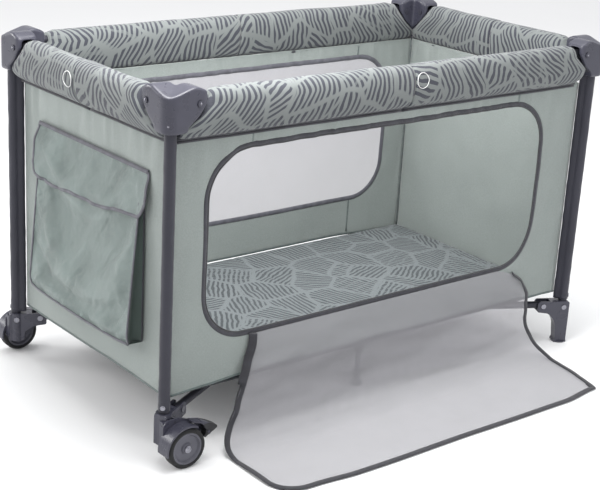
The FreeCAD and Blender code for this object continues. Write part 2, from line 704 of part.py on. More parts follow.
def pocket():
    """A bag on the left wall, shallow at its open top and deep at its foot."""
    skin, low, high = size("pocket_skin"), size("pocket_low"), size("pocket_high")
    back = pocket_back()
    mouth, foot, foot_z = back - size("pocket_mouth"), back - size("pocket_depth"), low + 19
    outer = plate("pocket_outer", at(0, 0, 0), "pocket_wide",
                  [(back, low, 0), (foot, foot_z, 14), (mouth, high, 0), (back, high, 0)])
    inner = plate("pocket_inner", at(0, 0, 0), "pocket_wide - 2 * pocket_skin",
                  [(back - skin, low + 1.5 * skin, 0), (foot + 1.1 * skin, foot_z + skin, 12),
                   (mouth + 1.3 * skin, high + 10, 0), (back - skin, high + 10, 0)])
    keep("pocket", cut("pocket", outer, inner))


def pocket_back():
    """The plane against which the pocket is sewn."""
    return -size("wall_x") - size("wall_thick") / 2 - 0.5


def pocket_flap():
    """Sewn to the wall above the pocket and laid over its open top."""
    high, low, thick = size("flap_high"), size("flap_low"), size("flap_thick")
    back = pocket_back() - 1
    lip, lip_z = back - size("pocket_mouth") - 0.5, size("pocket_high") + 3
    lean = (size("pocket_depth") - size("pocket_mouth")) / (size("pocket_high") - size("pocket_low"))
    hem = lip - lean * (lip_z - low) - 1
    outline = [(back, high, 0), (lip, lip_z, 8), (hem, low, 0), (hem - thick, low, 0),
               (lip - thick, lip_z + 1, 10), (back, high + 1.3 * thick, 0)]
    keep("pocket_flap", plate("pocket_flap", at(0, 0, 0), "flap_wide", outline))


# ---------------------------------------------------------------- build, check and write
for corner_name in CORNERS:
    post(corner_name)
    cap(corner_name)
    base_arm(corner_name)
for corner_name in ("front_left", "back_left"):
    caster_fork(corner_name)
    wheel(corner_name)
    brake_lever(corner_name)
for corner_name in ("front_right", "back_right"):
    foot(corner_name)
for side_name in SIDES:
    rails(side_name)
    cover(side_name)
    latch(side_name)
hub()
for side_name in ("front", "back"):
    mid_leg(side_name)
walls()
floor_and_mattress()
door()
pocket()
pocket_flap()
doc.recompute()

for item in doc.Objects:
    if "Invalid" in item.State or "Error" in item.State:
        raise RuntimeError(f"{item.Label} was not built: {item.State}")
for label, item in nodes.items():
    if item.Shape.isNull() or not item.Shape.isValid() or not item.Shape.Solids:
        raise RuntimeError(f"{label} has no valid solid")
os.makedirs("parts", exist_ok=True)
for label, item in nodes.items():
    item.Shape.exportStep(f"parts/{label}.step")
print(len(nodes), "sub-parts written")
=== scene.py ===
"""The folding playpen's looks: walls, printed rail covers, mesh door and window, mattress, pocket.

Metres, in the CAD's frame: +X along the length, the door faces -Y, +Z up, floor at z = 0.
"""
import math

import bpy
from mathutils import Matrix, Vector, noise


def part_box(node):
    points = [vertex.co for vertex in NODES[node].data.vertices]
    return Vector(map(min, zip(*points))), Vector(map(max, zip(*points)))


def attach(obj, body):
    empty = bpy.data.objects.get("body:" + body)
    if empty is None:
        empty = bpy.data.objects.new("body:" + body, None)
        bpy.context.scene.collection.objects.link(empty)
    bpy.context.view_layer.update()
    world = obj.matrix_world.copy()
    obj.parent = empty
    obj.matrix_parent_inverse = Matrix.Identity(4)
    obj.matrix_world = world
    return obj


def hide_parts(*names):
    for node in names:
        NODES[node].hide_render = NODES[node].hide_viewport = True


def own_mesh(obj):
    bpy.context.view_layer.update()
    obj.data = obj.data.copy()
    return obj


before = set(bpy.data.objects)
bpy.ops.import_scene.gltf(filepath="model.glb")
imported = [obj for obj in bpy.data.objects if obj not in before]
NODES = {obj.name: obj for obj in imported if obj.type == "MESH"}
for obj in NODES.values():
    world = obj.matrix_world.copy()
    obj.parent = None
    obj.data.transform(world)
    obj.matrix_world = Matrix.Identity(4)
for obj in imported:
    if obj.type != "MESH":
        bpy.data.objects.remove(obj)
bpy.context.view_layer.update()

# ---------------------------------------------------------------- places read from the frame
def box(node):
    return [Vector(corner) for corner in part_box(node)]


def middle(node):
    low, high = box(node)
    return (low + high) / 2


FLOOR_LOW, FLOOR_HIGH = box("floor_sheet")
CENTRE_Y = middle("floor_sheet").y
FRONT_Y = middle("wall_front").y          # planes of the four walls
BACK_Y = middle("wall_back").y
LEFT_X = middle("wall_left").x
RIGHT_X = middle("wall_right").x
WALL_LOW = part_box("wall_front")[0][2]
WALL_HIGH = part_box("wall_front")[1][2]
TUBE = (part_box("rail_front_left")[1][2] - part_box("rail_front_left")[0][2]) / 2   # its radius
POST_X = -middle("rail_left_front").x     # the posts stand at the crossings of the rails
POST_FRONT = middle("rail_front_left").y
POST_BACK = middle("rail_back_left").y
POST_Y = (POST_BACK - POST_FRONT) / 2
CORNERS = {"front_left": (-1, -1), "front_right": (1, -1),
           "back_left": (-1, 1), "back_right": (1, 1)}
CAP_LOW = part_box("cap_front_left")[0][2]
CAP_CORNER = 0.0232                       # from a post's axis to the cap's outer corner
CLOTH = 0.0014                            # thickness of the walls' and pocket's cloth
GUSSET = 0.0012                           # and of the pocket's sides and the floor


# ---------------------------------------------------------------- small helpers
def smooth(value, low=0.0, high=1.0):
    """0 below low, 1 above high, eased between."""
    t = min(1.0, max(0.0, (value - low) / (high - low)))
    return t * t * (3 - 2 * t)


def mix(a, b, t):
    return a + (b - a) * t


def ripple(x, y, seed, scale=1.0):
    """Soft noise from -1 to 1."""
    return noise.noise(Vector((x * scale + seed * 7.31, y * scale - seed * 3.17, seed * 1.93)))


def folds(x, y, seed, scale, stretch=5.0):
    """Creases that run along y."""
    bend = 0.35 * ripple(x, y, seed + 9, scale * 0.5)
    return noise.noise(Vector((x * scale + bend + seed * 4.7, y * scale / stretch, seed * 2.3)))


def in_scene(name, data):
    obj = bpy.data.objects.new(name, data)
    bpy.context.scene.collection.objects.link(obj)
    return obj


def new_mesh(name, points, faces, uvs=None):
    mesh = bpy.data.meshes.new(name)
    mesh.from_pydata([tuple(p) for p in points], [], faces)
    if uvs is not None:
        layer = mesh.uv_layers.new(name="cloth")
        for loop in mesh.loops:
            layer.data[loop.index].uv = uvs[loop.vertex_index]
    mesh.polygons.foreach_set("use_smooth", [True] * len(mesh.polygons))
    mesh.update()
    return in_scene(name, mesh)


def grid(name, rows, columns, place, across=False, around=False, cloth=None):
    """Quads over place(u, v); around joins the last row to the first."""
    points, uvs, faces = [], [], []
    for i in range(rows + (0 if around else 1)):
        for j in range(columns + 1):
            u, v = i / rows, j / columns
            points.append(place(u, v))
            uvs.append(cloth(u, v) if cloth else (u, v))
    count = len(points) // (columns + 1)
    for i in range(rows):
        for j in range(columns):
            a = i * (columns + 1) + j
            b = ((i + 1) % count) * (columns + 1) + j
            face = (a, b, b + 1, a + 1)
            faces.append(face[::-1] if across else face)
    return new_mesh(name, points, faces, uvs)


def paint(obj, material):
    obj.data.materials.clear()
    obj.data.materials.append(material)


def dress(obj, material):
    """Give a piece its looks."""
    paint(obj, material)


def modify(obj, kind, **settings):
    """Add a modifier; it stays live until apply_modifiers."""
    modifier = obj.modifiers.new(kind.lower(), kind)
    for key, value in settings.items():
        setattr(modifier, key, value)


def thicken(obj, thickness, offset=0.0):
    modify(obj, "SOLIDIFY", thickness=thickness, offset=offset)
    apply_modifiers(obj)


def apply_modifiers(obj):
    depsgraph = bpy.context.evaluated_depsgraph_get()
    mesh = bpy.data.meshes.new_from_object(obj.evaluated_get(depsgraph))
    obj.modifiers.clear()
    obj.data = mesh


def settle_cloth(obj, held, swell, gravity, frames=26, reach=0.012):
    """Let a panel with a little spare cloth buckle between the points it is held by.

    held(index) says which points are held. Returns the settled points.
    """
    start = [v.co.copy() for v in obj.data.vertices]
    group = obj.vertex_groups.new(name="held")
    group.add([index for index in range(len(start)) if held(index)], 1.0, "REPLACE")
    cloth = obj.modifiers.new("cloth", "CLOTH")
    for key, value in dict(quality=8, mass=0.12, air_damping=3.0, tension_stiffness=30,
                           compression_stiffness=30, shear_stiffness=12, bending_stiffness=0.06,
                           vertex_group_mass="held", shrink_min=-swell).items():
        setattr(cloth.settings, key, value)
    cloth.settings.effector_weights.gravity = gravity
    cloth.point_cache.frame_start = 1
    cloth.point_cache.frame_end = frames
    for frame_number in range(1, frames + 1):
        bpy.context.scene.frame_set(frame_number)
    apply_modifiers(obj)
    bpy.context.scene.frame_set(1)
    obj.vertex_groups.clear()
    for vertex, before in zip(obj.data.vertices, start):
        moved = vertex.co - before
        if moved.length > reach:
            vertex.co = before + moved * (reach / moved.length)
    return [v.co.copy() for v in obj.data.vertices]


def refine(obj):
    """One level of subdivision, applied."""
    modify(obj, "SUBSURF", levels=1, render_levels=1)
    apply_modifiers(obj)


def strip(name, path, wide, thick, facing, closed=False):
    """A soft ribbon along a path; facing is the way its flat side looks."""
    count = len(path)
    corners = [(math.cos(a), math.sin(a)) for a in (math.radians(d) for d in range(0, 360, 45))]
    points, faces = [], []
    for index, spot in enumerate(path):
        before = path[index - 1] if (closed or index > 0) else spot
        after = path[(index + 1) % count] if (closed or index < count - 1) else spot
        along = (after - before).normalized()
        side = along.cross(facing.normalized()).normalized()
        out = side.cross(along)
        for a, b in corners:
            flat = math.copysign(abs(a) ** 0.6, a)
            points.append(spot + side * (flat * wide / 2) + out * (b * thick / 2))
    ring = len(corners)
    for i in range(count if closed else count - 1):
        for j in range(ring):
            a, b = i * ring + j, i * ring + (j + 1) % ring
            c, d = ((i + 1) % count) * ring + j, ((i + 1) % count) * ring + (j + 1) % ring
            faces.append((a, b, d, c))
    if not closed:
        faces.append(tuple(reversed(range(ring))))
        faces.append(tuple((count - 1) * ring + j for j in range(ring)))
    return new_mesh(name, points, faces)


def ring_pairs(rings, count, first=0):
    """The first two points of each quad between rings of points."""
    for ring in range(rings):
        for k in range(count):
            yield first + ring * count + k, first + ring * count + (k + 1) % count


def rounded_outline(x0, x1, z0, z1, radius, step=0.006):
    """Points of a rounded rectangle, from the low left corner round by the low right one."""
    centres = [(x0, z0, 180), (x1, z0, 270), (x1, z1, 0), (x0, z1, 90)]
    points = []
    for x, z, start in centres:
        cx = x + radius * (1 if x == x0 else -1)
        cz = z + radius * (1 if z == z0 else -1)
        steps = max(4, int(radius * math.pi / 2 / step))
        for k in range(steps + 1):
            angle = math.radians(start + 90 * k / steps)
            points.append((cx + radius * math.cos(angle), cz + radius * math.sin(angle)))
    return points


def resample(points, count):
    """Evenly spaced points round a closed outline."""
    loop = [Vector((x, z, 0)) for x, z in points]
    loop.append(loop[0])
    lengths = [(b - a).length for a, b in zip(loop, loop[1:])]
    total, result, index, done = sum(lengths), [], 0, 0.0
    for k in range(count):
        target = total * k / count
        while done + lengths[index] < target:
            done += lengths[index]
            index += 1
        t = (target - done) / lengths[index] if lengths[index] else 0
        spot = loop[index].lerp(loop[index + 1], t)
        result.append((spot.x, spot.y))
    return result


# ---------------------------------------------------------------- materials
class Value:
    """A node's output, to write a material's arithmetic with."""

    def __init__(self, look, socket):
        self.look, self.socket = look, socket

    def maths(self, operation, *others):
        return self.look.add("ShaderNodeMath", 0, dict(enumerate((self, *others))),
                             operation=operation)

    def __add__(self, other):
        return self.maths("ADD", other)

    def __sub__(self, other):
        return self.maths("SUBTRACT", other)

    def __mul__(self, other):
        return self.maths("MULTIPLY", other)


class Look:
    """A material, with short ways to add its nodes; place is a point of the piece."""

    def __init__(self, name):
        self.material = bpy.data.materials.new(name)
        self.material.use_nodes = True
        self.tree = self.material.node_tree
        self.place = self.add("ShaderNodeTexCoord", "Object")

    def make(self, kind, inputs=None, **settings):
        made = self.tree.nodes.new(kind)
        for key, value in settings.items():
            setattr(made, key, value)
        for key, value in (inputs or {}).items():
            self.feed(made.inputs[key], value)
        return made

    def feed(self, socket, value):
        """Link an output to a socket, or set the socket's own number or colour."""
        if isinstance(value, Value):
            self.tree.links.new(value.socket, socket)
        elif socket.type == "RGBA":
            socket.default_value = (*value, 1)
        else:
            socket.default_value = value

    def add(self, kind, output, inputs=None, **settings):
        """Add a node and give back one of its outputs."""
        return Value(self, self.make(kind, inputs, **settings).outputs[output])

    def split(self, kind, value):
        return [Value(self, socket) for socket in self.make(kind, {0: value}).outputs]

    def shade(self, **inputs):
        """Feed the shader's sockets, named with _ for each space."""
        for key, value in inputs.items():
            socket = self.tree.nodes["Principled BSDF"].inputs[key.replace("_", " ")]
            self.feed(socket, value)

    def cloth(self):
        return self.add("ShaderNodeUVMap", 0, uv_map="cloth")

    def noise(self, place, scale, detail, output="Fac"):
        return self.add("ShaderNodeTexNoise", output,
                        {"Vector": place, "Scale": scale, "Detail": detail})

    def span(self, value, low, high):
        """A value from 0 to 1 spread over low to high."""
        return self.add("ShaderNodeMapRange", 0, {"Value": value, "To Min": low, "To Max": high})

    def ramp(self, value, stops):
        made = self.make("ShaderNodeValToRGB", {0: value})
        elements = made.color_ramp.elements
        for element, (position, colour) in zip(elements, stops):
            element.position = position
            element.color = (*colour, 1)
        return Value(self, made.outputs["Color"])

    def blend(self, factor, first, second, mode="MIX"):
        return self.add("ShaderNodeMix", 2, {0: factor, 6: first, 7: second},
                        data_type="RGBA", blend_type=mode)

    def bump(self, height, strength, distance):
        self.shade(Normal=self.add("ShaderNodeBump", 0, {"Strength": strength, "Height": height,
                                                         "Distance": distance}))

    def weave(self, pitch):
        """Height of two crossing sets of threads."""
        warp, weft, third = (part.maths("MULTIPLY", 2 * math.pi / pitch).maths("SINE")
                             for part in self.split("ShaderNodeSeparateXYZ", self.place))
        return (warp + third) * (weft + 0.35)

    def pushed(self, place, scale, amount):
        """A place moved about by noise."""
        way = self.add("ShaderNodeVectorMath", 0, {0: self.noise(place, scale, 1.0, "Color"),
                                                   1: (0.5, 0.5, 0.5)}, operation="SUBTRACT")
        push = self.add("ShaderNodeVectorMath", 0, {0: way, "Scale": amount}, operation="SCALE")
        return self.add("ShaderNodeVectorMath", 0, {0: place, 1: push}, operation="ADD")


def tinted(colour, factor):
    return tuple(min(1.0, factor * c) for c in colour)


def woven(name, colour, shade, roughness=0.75, sheen=0.25, glow=0.0):
    """Plain woven polyester with uneven dye; glow is the light that comes through."""
    look = Look(name)
    fine = look.noise(look.place, 420.0, 2.0)
    base = look.ramp(look.noise(look.place, 5.0, 4.0), [(0.3, shade), (0.7, colour)])
    speck = look.ramp(fine, [(0.35, (0.93, 0.93, 0.93)), (0.65, (1.05, 1.05, 1.05))])
    look.shade(Base_Color=look.blend(1.0, base, speck, "MULTIPLY"),
               Roughness=look.span(fine, roughness - 0.08, roughness + 0.08),
               Sheen_Weight=sheen, Sheen_Roughness=0.4, Specular_IOR_Level=0.35)
    if glow:
        look.shade(Subsurface_Weight=glow, Subsurface_Radius=(1.0, 1.0, 1.0),
                   Subsurface_Scale=0.006)
    look.bump(look.weave(0.0011) * 0.10 + look.noise(look.place, 26.0, 3.0), 0.25, 0.003)
    return look.material


def crumpled_painted_light(name, colour, shade):
    """Light nylon with a soft shine and long slanting creases; its colour is painted lighter on the
    crease ridges and darker in their hollows, a painted highlight and painted shade.
    """
    look = Look(name)
    slant = look.add("ShaderNodeMapping", 0,
                     {"Vector": look.place, "Rotation": (math.radians(34), 0, 0),
                      "Scale": (1.0, 0.078, 0.26)}, vector_type="TEXTURE")
    creases = look.add("ShaderNodeTexNoise", "Fac",
                       {"Vector": slant, "Scale": 1.0, "Detail": 3.0, "Distortion": 0.5})
    height = creases + look.noise(look.place, 16.0, 3.0) * 0.7
    # painted highlight and shade: the base colour follows the crease height, light on the ridges,
    # dark in the hollows
    look.shade(Base_Color=look.ramp(height * 0.6, [(0.3, shade), (0.7, colour)]),
               Roughness=look.span(look.noise(look.place, 420.0, 2.0), 0.26, 0.40),
               Sheen_Weight=0.2, Sheen_Roughness=0.35)
    look.bump(look.weave(0.0011) * 0.012 + height, 1.0, 0.026)
    return look.material


def printed(name, pitch, patch, spread, base, ink):
    """Woven fabric printed with patches of wavy stripes, some broken to dashes.

    A low spread keeps most patches' stripes square to the cloth's length.
    """
    look = Look(name)
    place = look.cloth()
    cell = {"Vector": look.pushed(place, 8.0, 0.042), "Scale": 1 / patch, "Randomness": 0.85}
    cells = look.add("ShaderNodeTexVoronoi", "Color", cell, voronoi_dimensions="2D")
    edges = look.add("ShaderNodeTexVoronoi", "Distance", cell, voronoi_dimensions="2D",
                     feature="DISTANCE_TO_EDGE")
    turn, chance, _ = look.split("ShaderNodeSeparateColor", cells)
    lean = turn - 0.5
    angle = (lean.maths("POWER", 5.0) * (14 * math.pi * (1 - spread))
             + lean * (math.pi * spread))
    x, y, _ = look.split("ShaderNodeSeparateXYZ", look.pushed(place, 24.0, 0.016))
    cos, sin = angle.maths("COSINE"), angle.maths("SINE")
    wave = ((x * cos + y * sin) * (2 * math.pi / pitch)).maths("SINE")
    stripes = wave + (look.noise(place, 24.0, 1.0) - 0.55) * 0.9
    beat = ((y * cos - x * sin) * (2 * math.pi / (pitch * 2.2))).maths("SINE")
    unbroken = chance.maths("LESS_THAN", 0.74) * 4.0
    dashes = (beat * 1.6 + 1.3).maths("MAXIMUM", unbroken)
    inside = edges * 7.0 - 0.35
    rounded = stripes.maths("SMOOTH_MIN", inside, 0.5).maths("SMOOTH_MIN", dashes, 0.5)
    mask = look.add("ShaderNodeMapRange", 0,
                    {"Value": rounded, "From Min": -0.10, "From Max": 0.10})
    grain = look.noise(place, 700.0, 2.0) * 0.30 + 0.80
    look.shade(Base_Color=look.blend(mask * grain, base, ink), Roughness=0.8, Sheen_Weight=0.2,
               Sheen_Roughness=0.45, Specular_IOR_Level=0.3)
    look.bump(look.weave(0.0012) * 0.10 + look.noise(look.place, 22.0, 3.0), 0.3, 0.004)
    return look.material


def tape(name, colour, roughness=0.7):
    """Ribbed binding tape."""
    look = Look(name)
    clouds = look.noise(look.place, 60.0, 3.0)
    look.shade(Base_Color=look.ramp(clouds, [(0.35, tinted(colour, 0.8)),
                                             (0.65, tinted(colour, 1.15))]),
               Roughness=roughness, Sheen_Weight=0.2)
    look.bump(look.weave(0.0016), 0.4, 0.0006)
    return look.material


def netting(name, colour, cover):
    """Fine knitted mesh, seen as a veil with the dots of its holes."""
    look = Look(name)
    place = look.cloth()
    x, y = (part.maths("MULTIPLY", 2 * math.pi / 0.0022).maths("SINE")
            for part in look.split("ShaderNodeSeparateXYZ", place)[:2])
    holes = x * y
    veil = look.add("ShaderNodeMapRange", 0,
                    {"Value": holes, "From Min": -0.6, "From Max": 0.6,
                     "To Min": cover + 0.10, "To Max": cover - 0.10})
    clouds = look.noise(place, 7.0, 3.0)
    look.shade(Alpha=veil, Roughness=0.6, Sheen_Weight=0.3, Specular_IOR_Level=0.3,
               Base_Color=look.ramp(clouds, [(0.3, tinted(colour, 0.93)), (0.7, colour)]))
    look.bump(holes, 0.2, 0.0004)
    return look.material


def moulded(name, colour, roughness=0.42, grain=900.0):
    """Injection-moulded plastic with a fine grain and slight wear."""
    look = Look(name)
    wear = look.noise(look.place, 35.0, 6.0)
    look.shade(Base_Color=look.ramp(wear, [(0.4, colour), (0.75, tinted(colour, 1.12))]),
               Roughness=look.span(wear, roughness - 0.1, roughness + 0.14))
    look.bump(look.noise(look.place, grain, 3.0), 0.12, 0.0006)
    return look.material


def metal(name, colour, metallic, roughness):
    look = Look(name)
    fine = look.noise(look.place, 300.0, 4.0)
    look.shade(Base_Color=look.ramp(fine, [(0.35, colour), (0.7, tinted(colour, 1.2))]),
               Metallic=metallic, Roughness=look.span(fine, roughness - 0.08, roughness + 0.1))
    look.bump(fine, 0.1, 0.0004)
    return look.material


SAGE = (0.262, 0.290, 0.277)
SAGE_SHADE = (0.238, 0.265, 0.253)
plain = woven("plain_fabric", SAGE, SAGE_SHADE, glow=0.6)
# the pocket's cloth: the first colour is the painted highlight on its creases, the second the
# painted shade in them
pocket_cloth_painted_light = crumpled_painted_light("pocket_fabric_painted_light", (0.300, 0.368, 0.350), (0.175, 0.220, 0.207))
# the pocket's sides and bottom: their dark green is painted shade, the shadow along the bag's sides
gusset_cloth_painted_shade = woven("gusset_fabric_painted_shade", (0.070, 0.095, 0.085), (0.055, 0.075, 0.068))
floor_cloth = woven("floor_fabric", (0.05, 0.055, 0.06), (0.04, 0.045, 0.05), sheen=0.1)
sleeve_cloth = woven("sleeve_fabric", (0.036, 0.036, 0.050), (0.028, 0.028, 0.039), sheen=0.15,
                     roughness=0.5)
cover_print = printed("cover_print", 0.0150, 0.095, 0.10, (0.178, 0.193, 0.190),
                      (0.042, 0.044, 0.058))
mattress_print = printed("mattress_print", 0.0122, 0.105, 1.0, (0.182, 0.204, 0.210),
                         (0.052, 0.061, 0.067))
dark_tape = tape("dark_tape", (0.035, 0.035, 0.045))
door_tape = tape("door_tape", (0.024, 0.024, 0.031))
grey_tape = tape("grey_tape", (0.105, 0.105, 0.125))
seam_tape = tape("seam_tape", (0.14, 0.17, 0.165))
hem_tape = tape("hem_tape", (0.10, 0.13, 0.125))
zip_teeth = tape("zip_teeth", (0.03, 0.03, 0.035), 0.4)
white_ink = tape("white_ink", (0.70, 0.71, 0.70))
net = netting("mesh_fabric", (0.355, 0.350, 0.372), 0.57)
window_net = netting("window_mesh", (0.315, 0.310, 0.338), 0.67)
grey_plastic = moulded("grey_plastic", (0.044, 0.044, 0.062), 0.27)
wheel_plastic = moulded("wheel_plastic", (0.085, 0.085, 0.105), 0.45)
black_plastic = moulded("black_plastic", (0.014, 0.014, 0.016), 0.45)
red_plastic = moulded("button_plastic", (0.36, 0.03, 0.02), 0.35)
tube_paint = metal("tube_paint", (0.030, 0.030, 0.040), 0.4, 0.38)
bright_steel = metal("bright_steel", (0.24, 0.24, 0.27), 1.0, 0.25)
cap_steel = metal("cap_steel", (0.055, 0.055, 0.072), 0.3, 0.30)
rubber = moulded("tyre_rubber", (0.006, 0.006, 0.007), 0.7, 500.0)


# ---------------------------------------------------------------- the CAD pieces that stay
def finish_cad():
    looks = {("post_", "rail_", "base_arm_", "mid_leg_"): tube_paint,
             ("cap_", "foot_", "caster_fork_", "brake_lever_", "hub"): grey_plastic,
             "wheel_disc_": wheel_plastic, "tyre_": rubber, "latch_button_": red_plastic,
             "latch_": black_plastic}
    for name, obj in NODES.items():
        look = next((look for starts, look in looks.items() if name.startswith(starts)), None)
        if look is None:
            continue
        if name.startswith("cap_"):
            round_over(obj)
        paint(obj, look)
        if name.startswith("post_"):
            brighten_rivets(name.removeprefix("post_"), obj)
            cap_pins(name.removeprefix("post_"), obj)
        if name.startswith("brake_lever_"):
            darken_tip(obj)
        if name.startswith(("foot_", "caster_fork_", "brake_lever_", "hub", "wheel_disc_")):
            soften(obj)


def round_over(obj):
    """Moulded corners are full and rounded everywhere."""
    modify(obj, "REMESH", mode="VOXEL", voxel_size=0.0018, use_smooth_shade=True)
    modify(obj, "SMOOTH", factor=0.5, iterations=45)


def post_axis(name):
    """The foot of a corner's post."""
    sign_x, sign_y = CORNERS[name]
    return Vector((sign_x * POST_X, CENTRE_Y + sign_y * POST_Y, 0))


def brighten_rivets(corner, obj):
    """Everything in a post's node that stands away from the tube is a steel fastener."""
    axis = post_axis(corner).xy
    obj.data.materials.append(bright_steel)
    obj.data.materials.append(cap_steel)
    for face in obj.data.polygons:
        if (face.center.xy - axis).length > TUBE + 0.001:
            face.material_index = 2 if face.center.z > CAP_LOW else 1


def cap_pins(corner, obj):
    """The bright shank ends in the middle of a cap's rivets."""
    signs, axis = CORNERS[corner], post_axis(corner)
    for along, across in ((0, 1), (1, 0)):
        head = [v.co for v in obj.data.vertices
                if v.co.z > CAP_LOW and abs(v.co[along] - axis[along]) > 0.03]
        spot = sum(head, Vector()) / len(head)
        spot[across] = signs[across] * max(signs[across] * co[across] for co in head)
        aim = math.atan2(signs[1] * across, signs[0] * along)
        dome(f"cap_pin_{corner}_{across}", corner, spot, aim, 0.0024, 0.0014)


def darken_tip(obj):
    """The end of the pedal is a black pad."""
    obj.data.materials.append(black_plastic)
    reach = max(v.co.x for v in obj.data.vertices)
    for face in obj.data.polygons:
        if face.center.x > reach - 0.030:
            face.material_index = 1


def soften(obj):
    """Small rounded edges catch the light."""
    modify(obj, "BEVEL", width=0.0014, segments=3, limit_method="ANGLE",
           angle_limit=math.radians(40), harden_normals=True)


def cap_screws():
    """A small steel screw low on each cap's outer corner."""
    for name, (sign_x, sign_y) in CORNERS.items():
        out = Vector((sign_x, sign_y, 0)).normalized()
        spot = post_axis(name) + Vector((0, 0, CAP_LOW + 0.018)) + out * CAP_CORNER
        dome(f"cap_screw_{name}", name, spot, math.atan2(out.y, out.x), 0.0040, 0.0022)


# ---------------------------------------------------------------- rail covers
# outward offset from the rail and height; the first and last points are the pinched lower edge
COVER_SECTION = [(-0.0165, 0.6805), (-0.004, 0.6825), (0.008, 0.688), (0.0185, 0.700),
                 (0.0255, 0.716), (0.0285, 0.733), (0.0275, 0.750), (0.0225, 0.766),
                 (0.0125, 0.776), (-0.001, 0.779), (-0.0145, 0.7765), (-0.0245, 0.767),
                 (-0.0295, 0.751), (-0.0305, 0.733), (-0.0285, 0.715), (-0.0255, 0.699),
                 (-0.0215, 0.686)]
OUTER_FACE = 9                            # how many of the first ones face outward
SIDES = {  # outward direction, direction along the rail, names of its two halves
    "front": (Vector((0, -1, 0)), Vector((1, 0, 0)), ("left", "right")),
    "back": (Vector((0, 1, 0)), Vector((-1, 0, 0)), ("right", "left")),
    "right": (Vector((1, 0, 0)), Vector((0, 1, 0)), ("front", "back")),
    "left": (Vector((-1, 0, 0)), Vector((0, -1, 0)), ("back", "front")),
}


def side_frame(side):
    """A rail's middle, the directions out and along, and half its length."""
    outward, along, _ = SIDES[side]
    length, width = (POST_X, POST_Y) if outward.y else (POST_Y, POST_X)
    return Vector((0, CENTRE_Y, 0)) + outward * width, outward, along, length


COVER_END = 0.0165                        # from a post's axis to a cover's end
SHORT_ENDS = {("front", "right"): 0.044, ("right", "front"): 0.044}
COVER_GAP = 0.0008                        # from a rail's middle to a cover's other end
COVER_GIRTH = 0.255
COVER_MIDDLE = 0.735                      # height that the section is drawn in towards


def cap_edge(z, least):
    """How far from a post's axis the cover ends, following the cap's lower outline."""
    slope = mix(COVER_END, 0.084, min(1.0, max(0.0, (z - CAP_LOW + 0.004) / 0.060)))
    return min(0.0835, max(least, slope))


def section_point(v):
    """A point of the cover's section, smooth between the listed ones."""
    count = len(COVER_SECTION)
    t = v * count
    i = int(t) % count
    f = t - int(t)
    p = [Vector(COVER_SECTION[(i + k) % count]) for k in (-1, 0, 1, 2)]
    if i == 0:
        p[0] = p[1]
    if i == count - 1:
        p[3] = p[2]
    a = -0.5 * p[0] + 1.5 * p[1] - 1.5 * p[2] + 0.5 * p[3]
    b = p[0] - 2.5 * p[1] + 2 * p[2] - 0.5 * p[3]
    c = -0.5 * p[0] + 0.5 * p[2]
    return a * f ** 3 + b * f ** 2 + c * f + p[1]


def rail_cover(side, half, sign, seed):
    rail, outward, along, length = side_frame(side)
    end_at = SHORT_ENDS.get((side, half), COVER_END)

    def place(u, v):
        offset, z = section_point(v)
        end = length - cap_edge(z, end_at)
        reach = mix(COVER_GAP, end, u)
        gap = end - reach
        tuck = 1 - 0.22 * (1 - smooth(gap, 0.0, 0.022))
        seam = 1 - 0.05 * (1 - smooth(reach, 0.0, 0.010))
        offset = -0.002 + (offset + 0.002) * tuck * seam
        low = 1 - 0.10 * (1 - smooth(gap, 0, 0.02))
        low_seam = 1 - 0.015 * (1 - smooth(reach, 0, 0.01))
        z = COVER_MIDDLE + (z - COVER_MIDDLE) * low * low_seam
        near_cap = 1 - smooth(gap, 0.0, 0.12)
        puff = 0.0018 * ripple(reach, v * COVER_GIRTH, seed, 9.0)
        gather = 0.0016 * folds(reach, v * COVER_GIRTH, seed + 3, 60.0, 3.0) * near_cap
        loose = 1.0 if 0.06 < v < 0.94 else 0.3
        swell = (puff + gather) * loose
        radial = Vector((offset, z - COVER_MIDDLE)).normalized()
        offset += radial.x * swell
        z += radial.y * swell
        return rail + outward * offset + along * (sign * reach) + Vector((0, 0, z))

    rows = max(24, int(length / 0.0075))
    columns = 52
    points, uvs, faces = [], [], []
    for i in range(rows + 1):
        for j in range(columns + 1):
            u, v = i / rows, j / columns
            points.append(place(u, v if j < columns else 0.0))
            uvs.append((sign * u * length + seed * 0.83, v * COVER_GIRTH + seed * 0.31))
    for i in range(rows):
        for j in range(columns):
            a = i * (columns + 1) + j
            b = a + columns + 1
            faces.append((a, a + 1, b + 1, b) if sign > 0 else (a, b, b + 1, a + 1))
    first = tuple(range(columns))
    last = tuple(rows * (columns + 1) + j for j in range(columns))
    faces += [first[::-1], last] if sign > 0 else [first, last[::-1]]
    obj = new_mesh(f"cover_{side}_{half}_padding", points, faces, uvs)
    merge_seam(obj)
    dress(obj, cover_print)
    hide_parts(f"cover_{side}_{half}")
    ride_rail(obj, side, half)
    piping(side, half, sign)


def merge_seam(obj):
    modify(obj, "WELD", merge_threshold=0.00005)
    apply_modifiers(obj)


def ride_rail(obj, side, half):
    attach(obj, f"rail_{side}_{half}")
    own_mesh(obj)


PIPING = ((-0.0125, 0.6815, 0.0088), (-0.0135, 0.6740, 0.0060))   # offset, height, width


def piping(side, half, sign):
    """A double cord where the cover is sewn to the wall."""
    rail, outward, along, length = side_frame(side)
    end = length - SHORT_ENDS.get((side, half), COVER_END) + 0.001
    count = max(12, int(end / 0.02))
    for row, (offset, z, wide) in enumerate(PIPING):
        path = []
        for k in range(count + 1):
            reach = mix(COVER_GAP, end, k / count)
            sag = 0.0012 * ripple(reach, 0.3 * row, 5 + row, 8.0)
            path.append(rail + outward * offset + along * (sign * reach) + Vector((0, 0, z + sag)))
        cord = strip(f"piping_{side}_{half}_{row}", path, wide, wide, outward)
        dress(cord, dark_tape)
        ride_rail(cord, side, half)


def covers():
    seed = 1
    for side, (_, _, names) in SIDES.items():
        for half, sign in zip(names, (-1, 1)):
            rail_cover(side, half, sign, seed)
            seed += 1


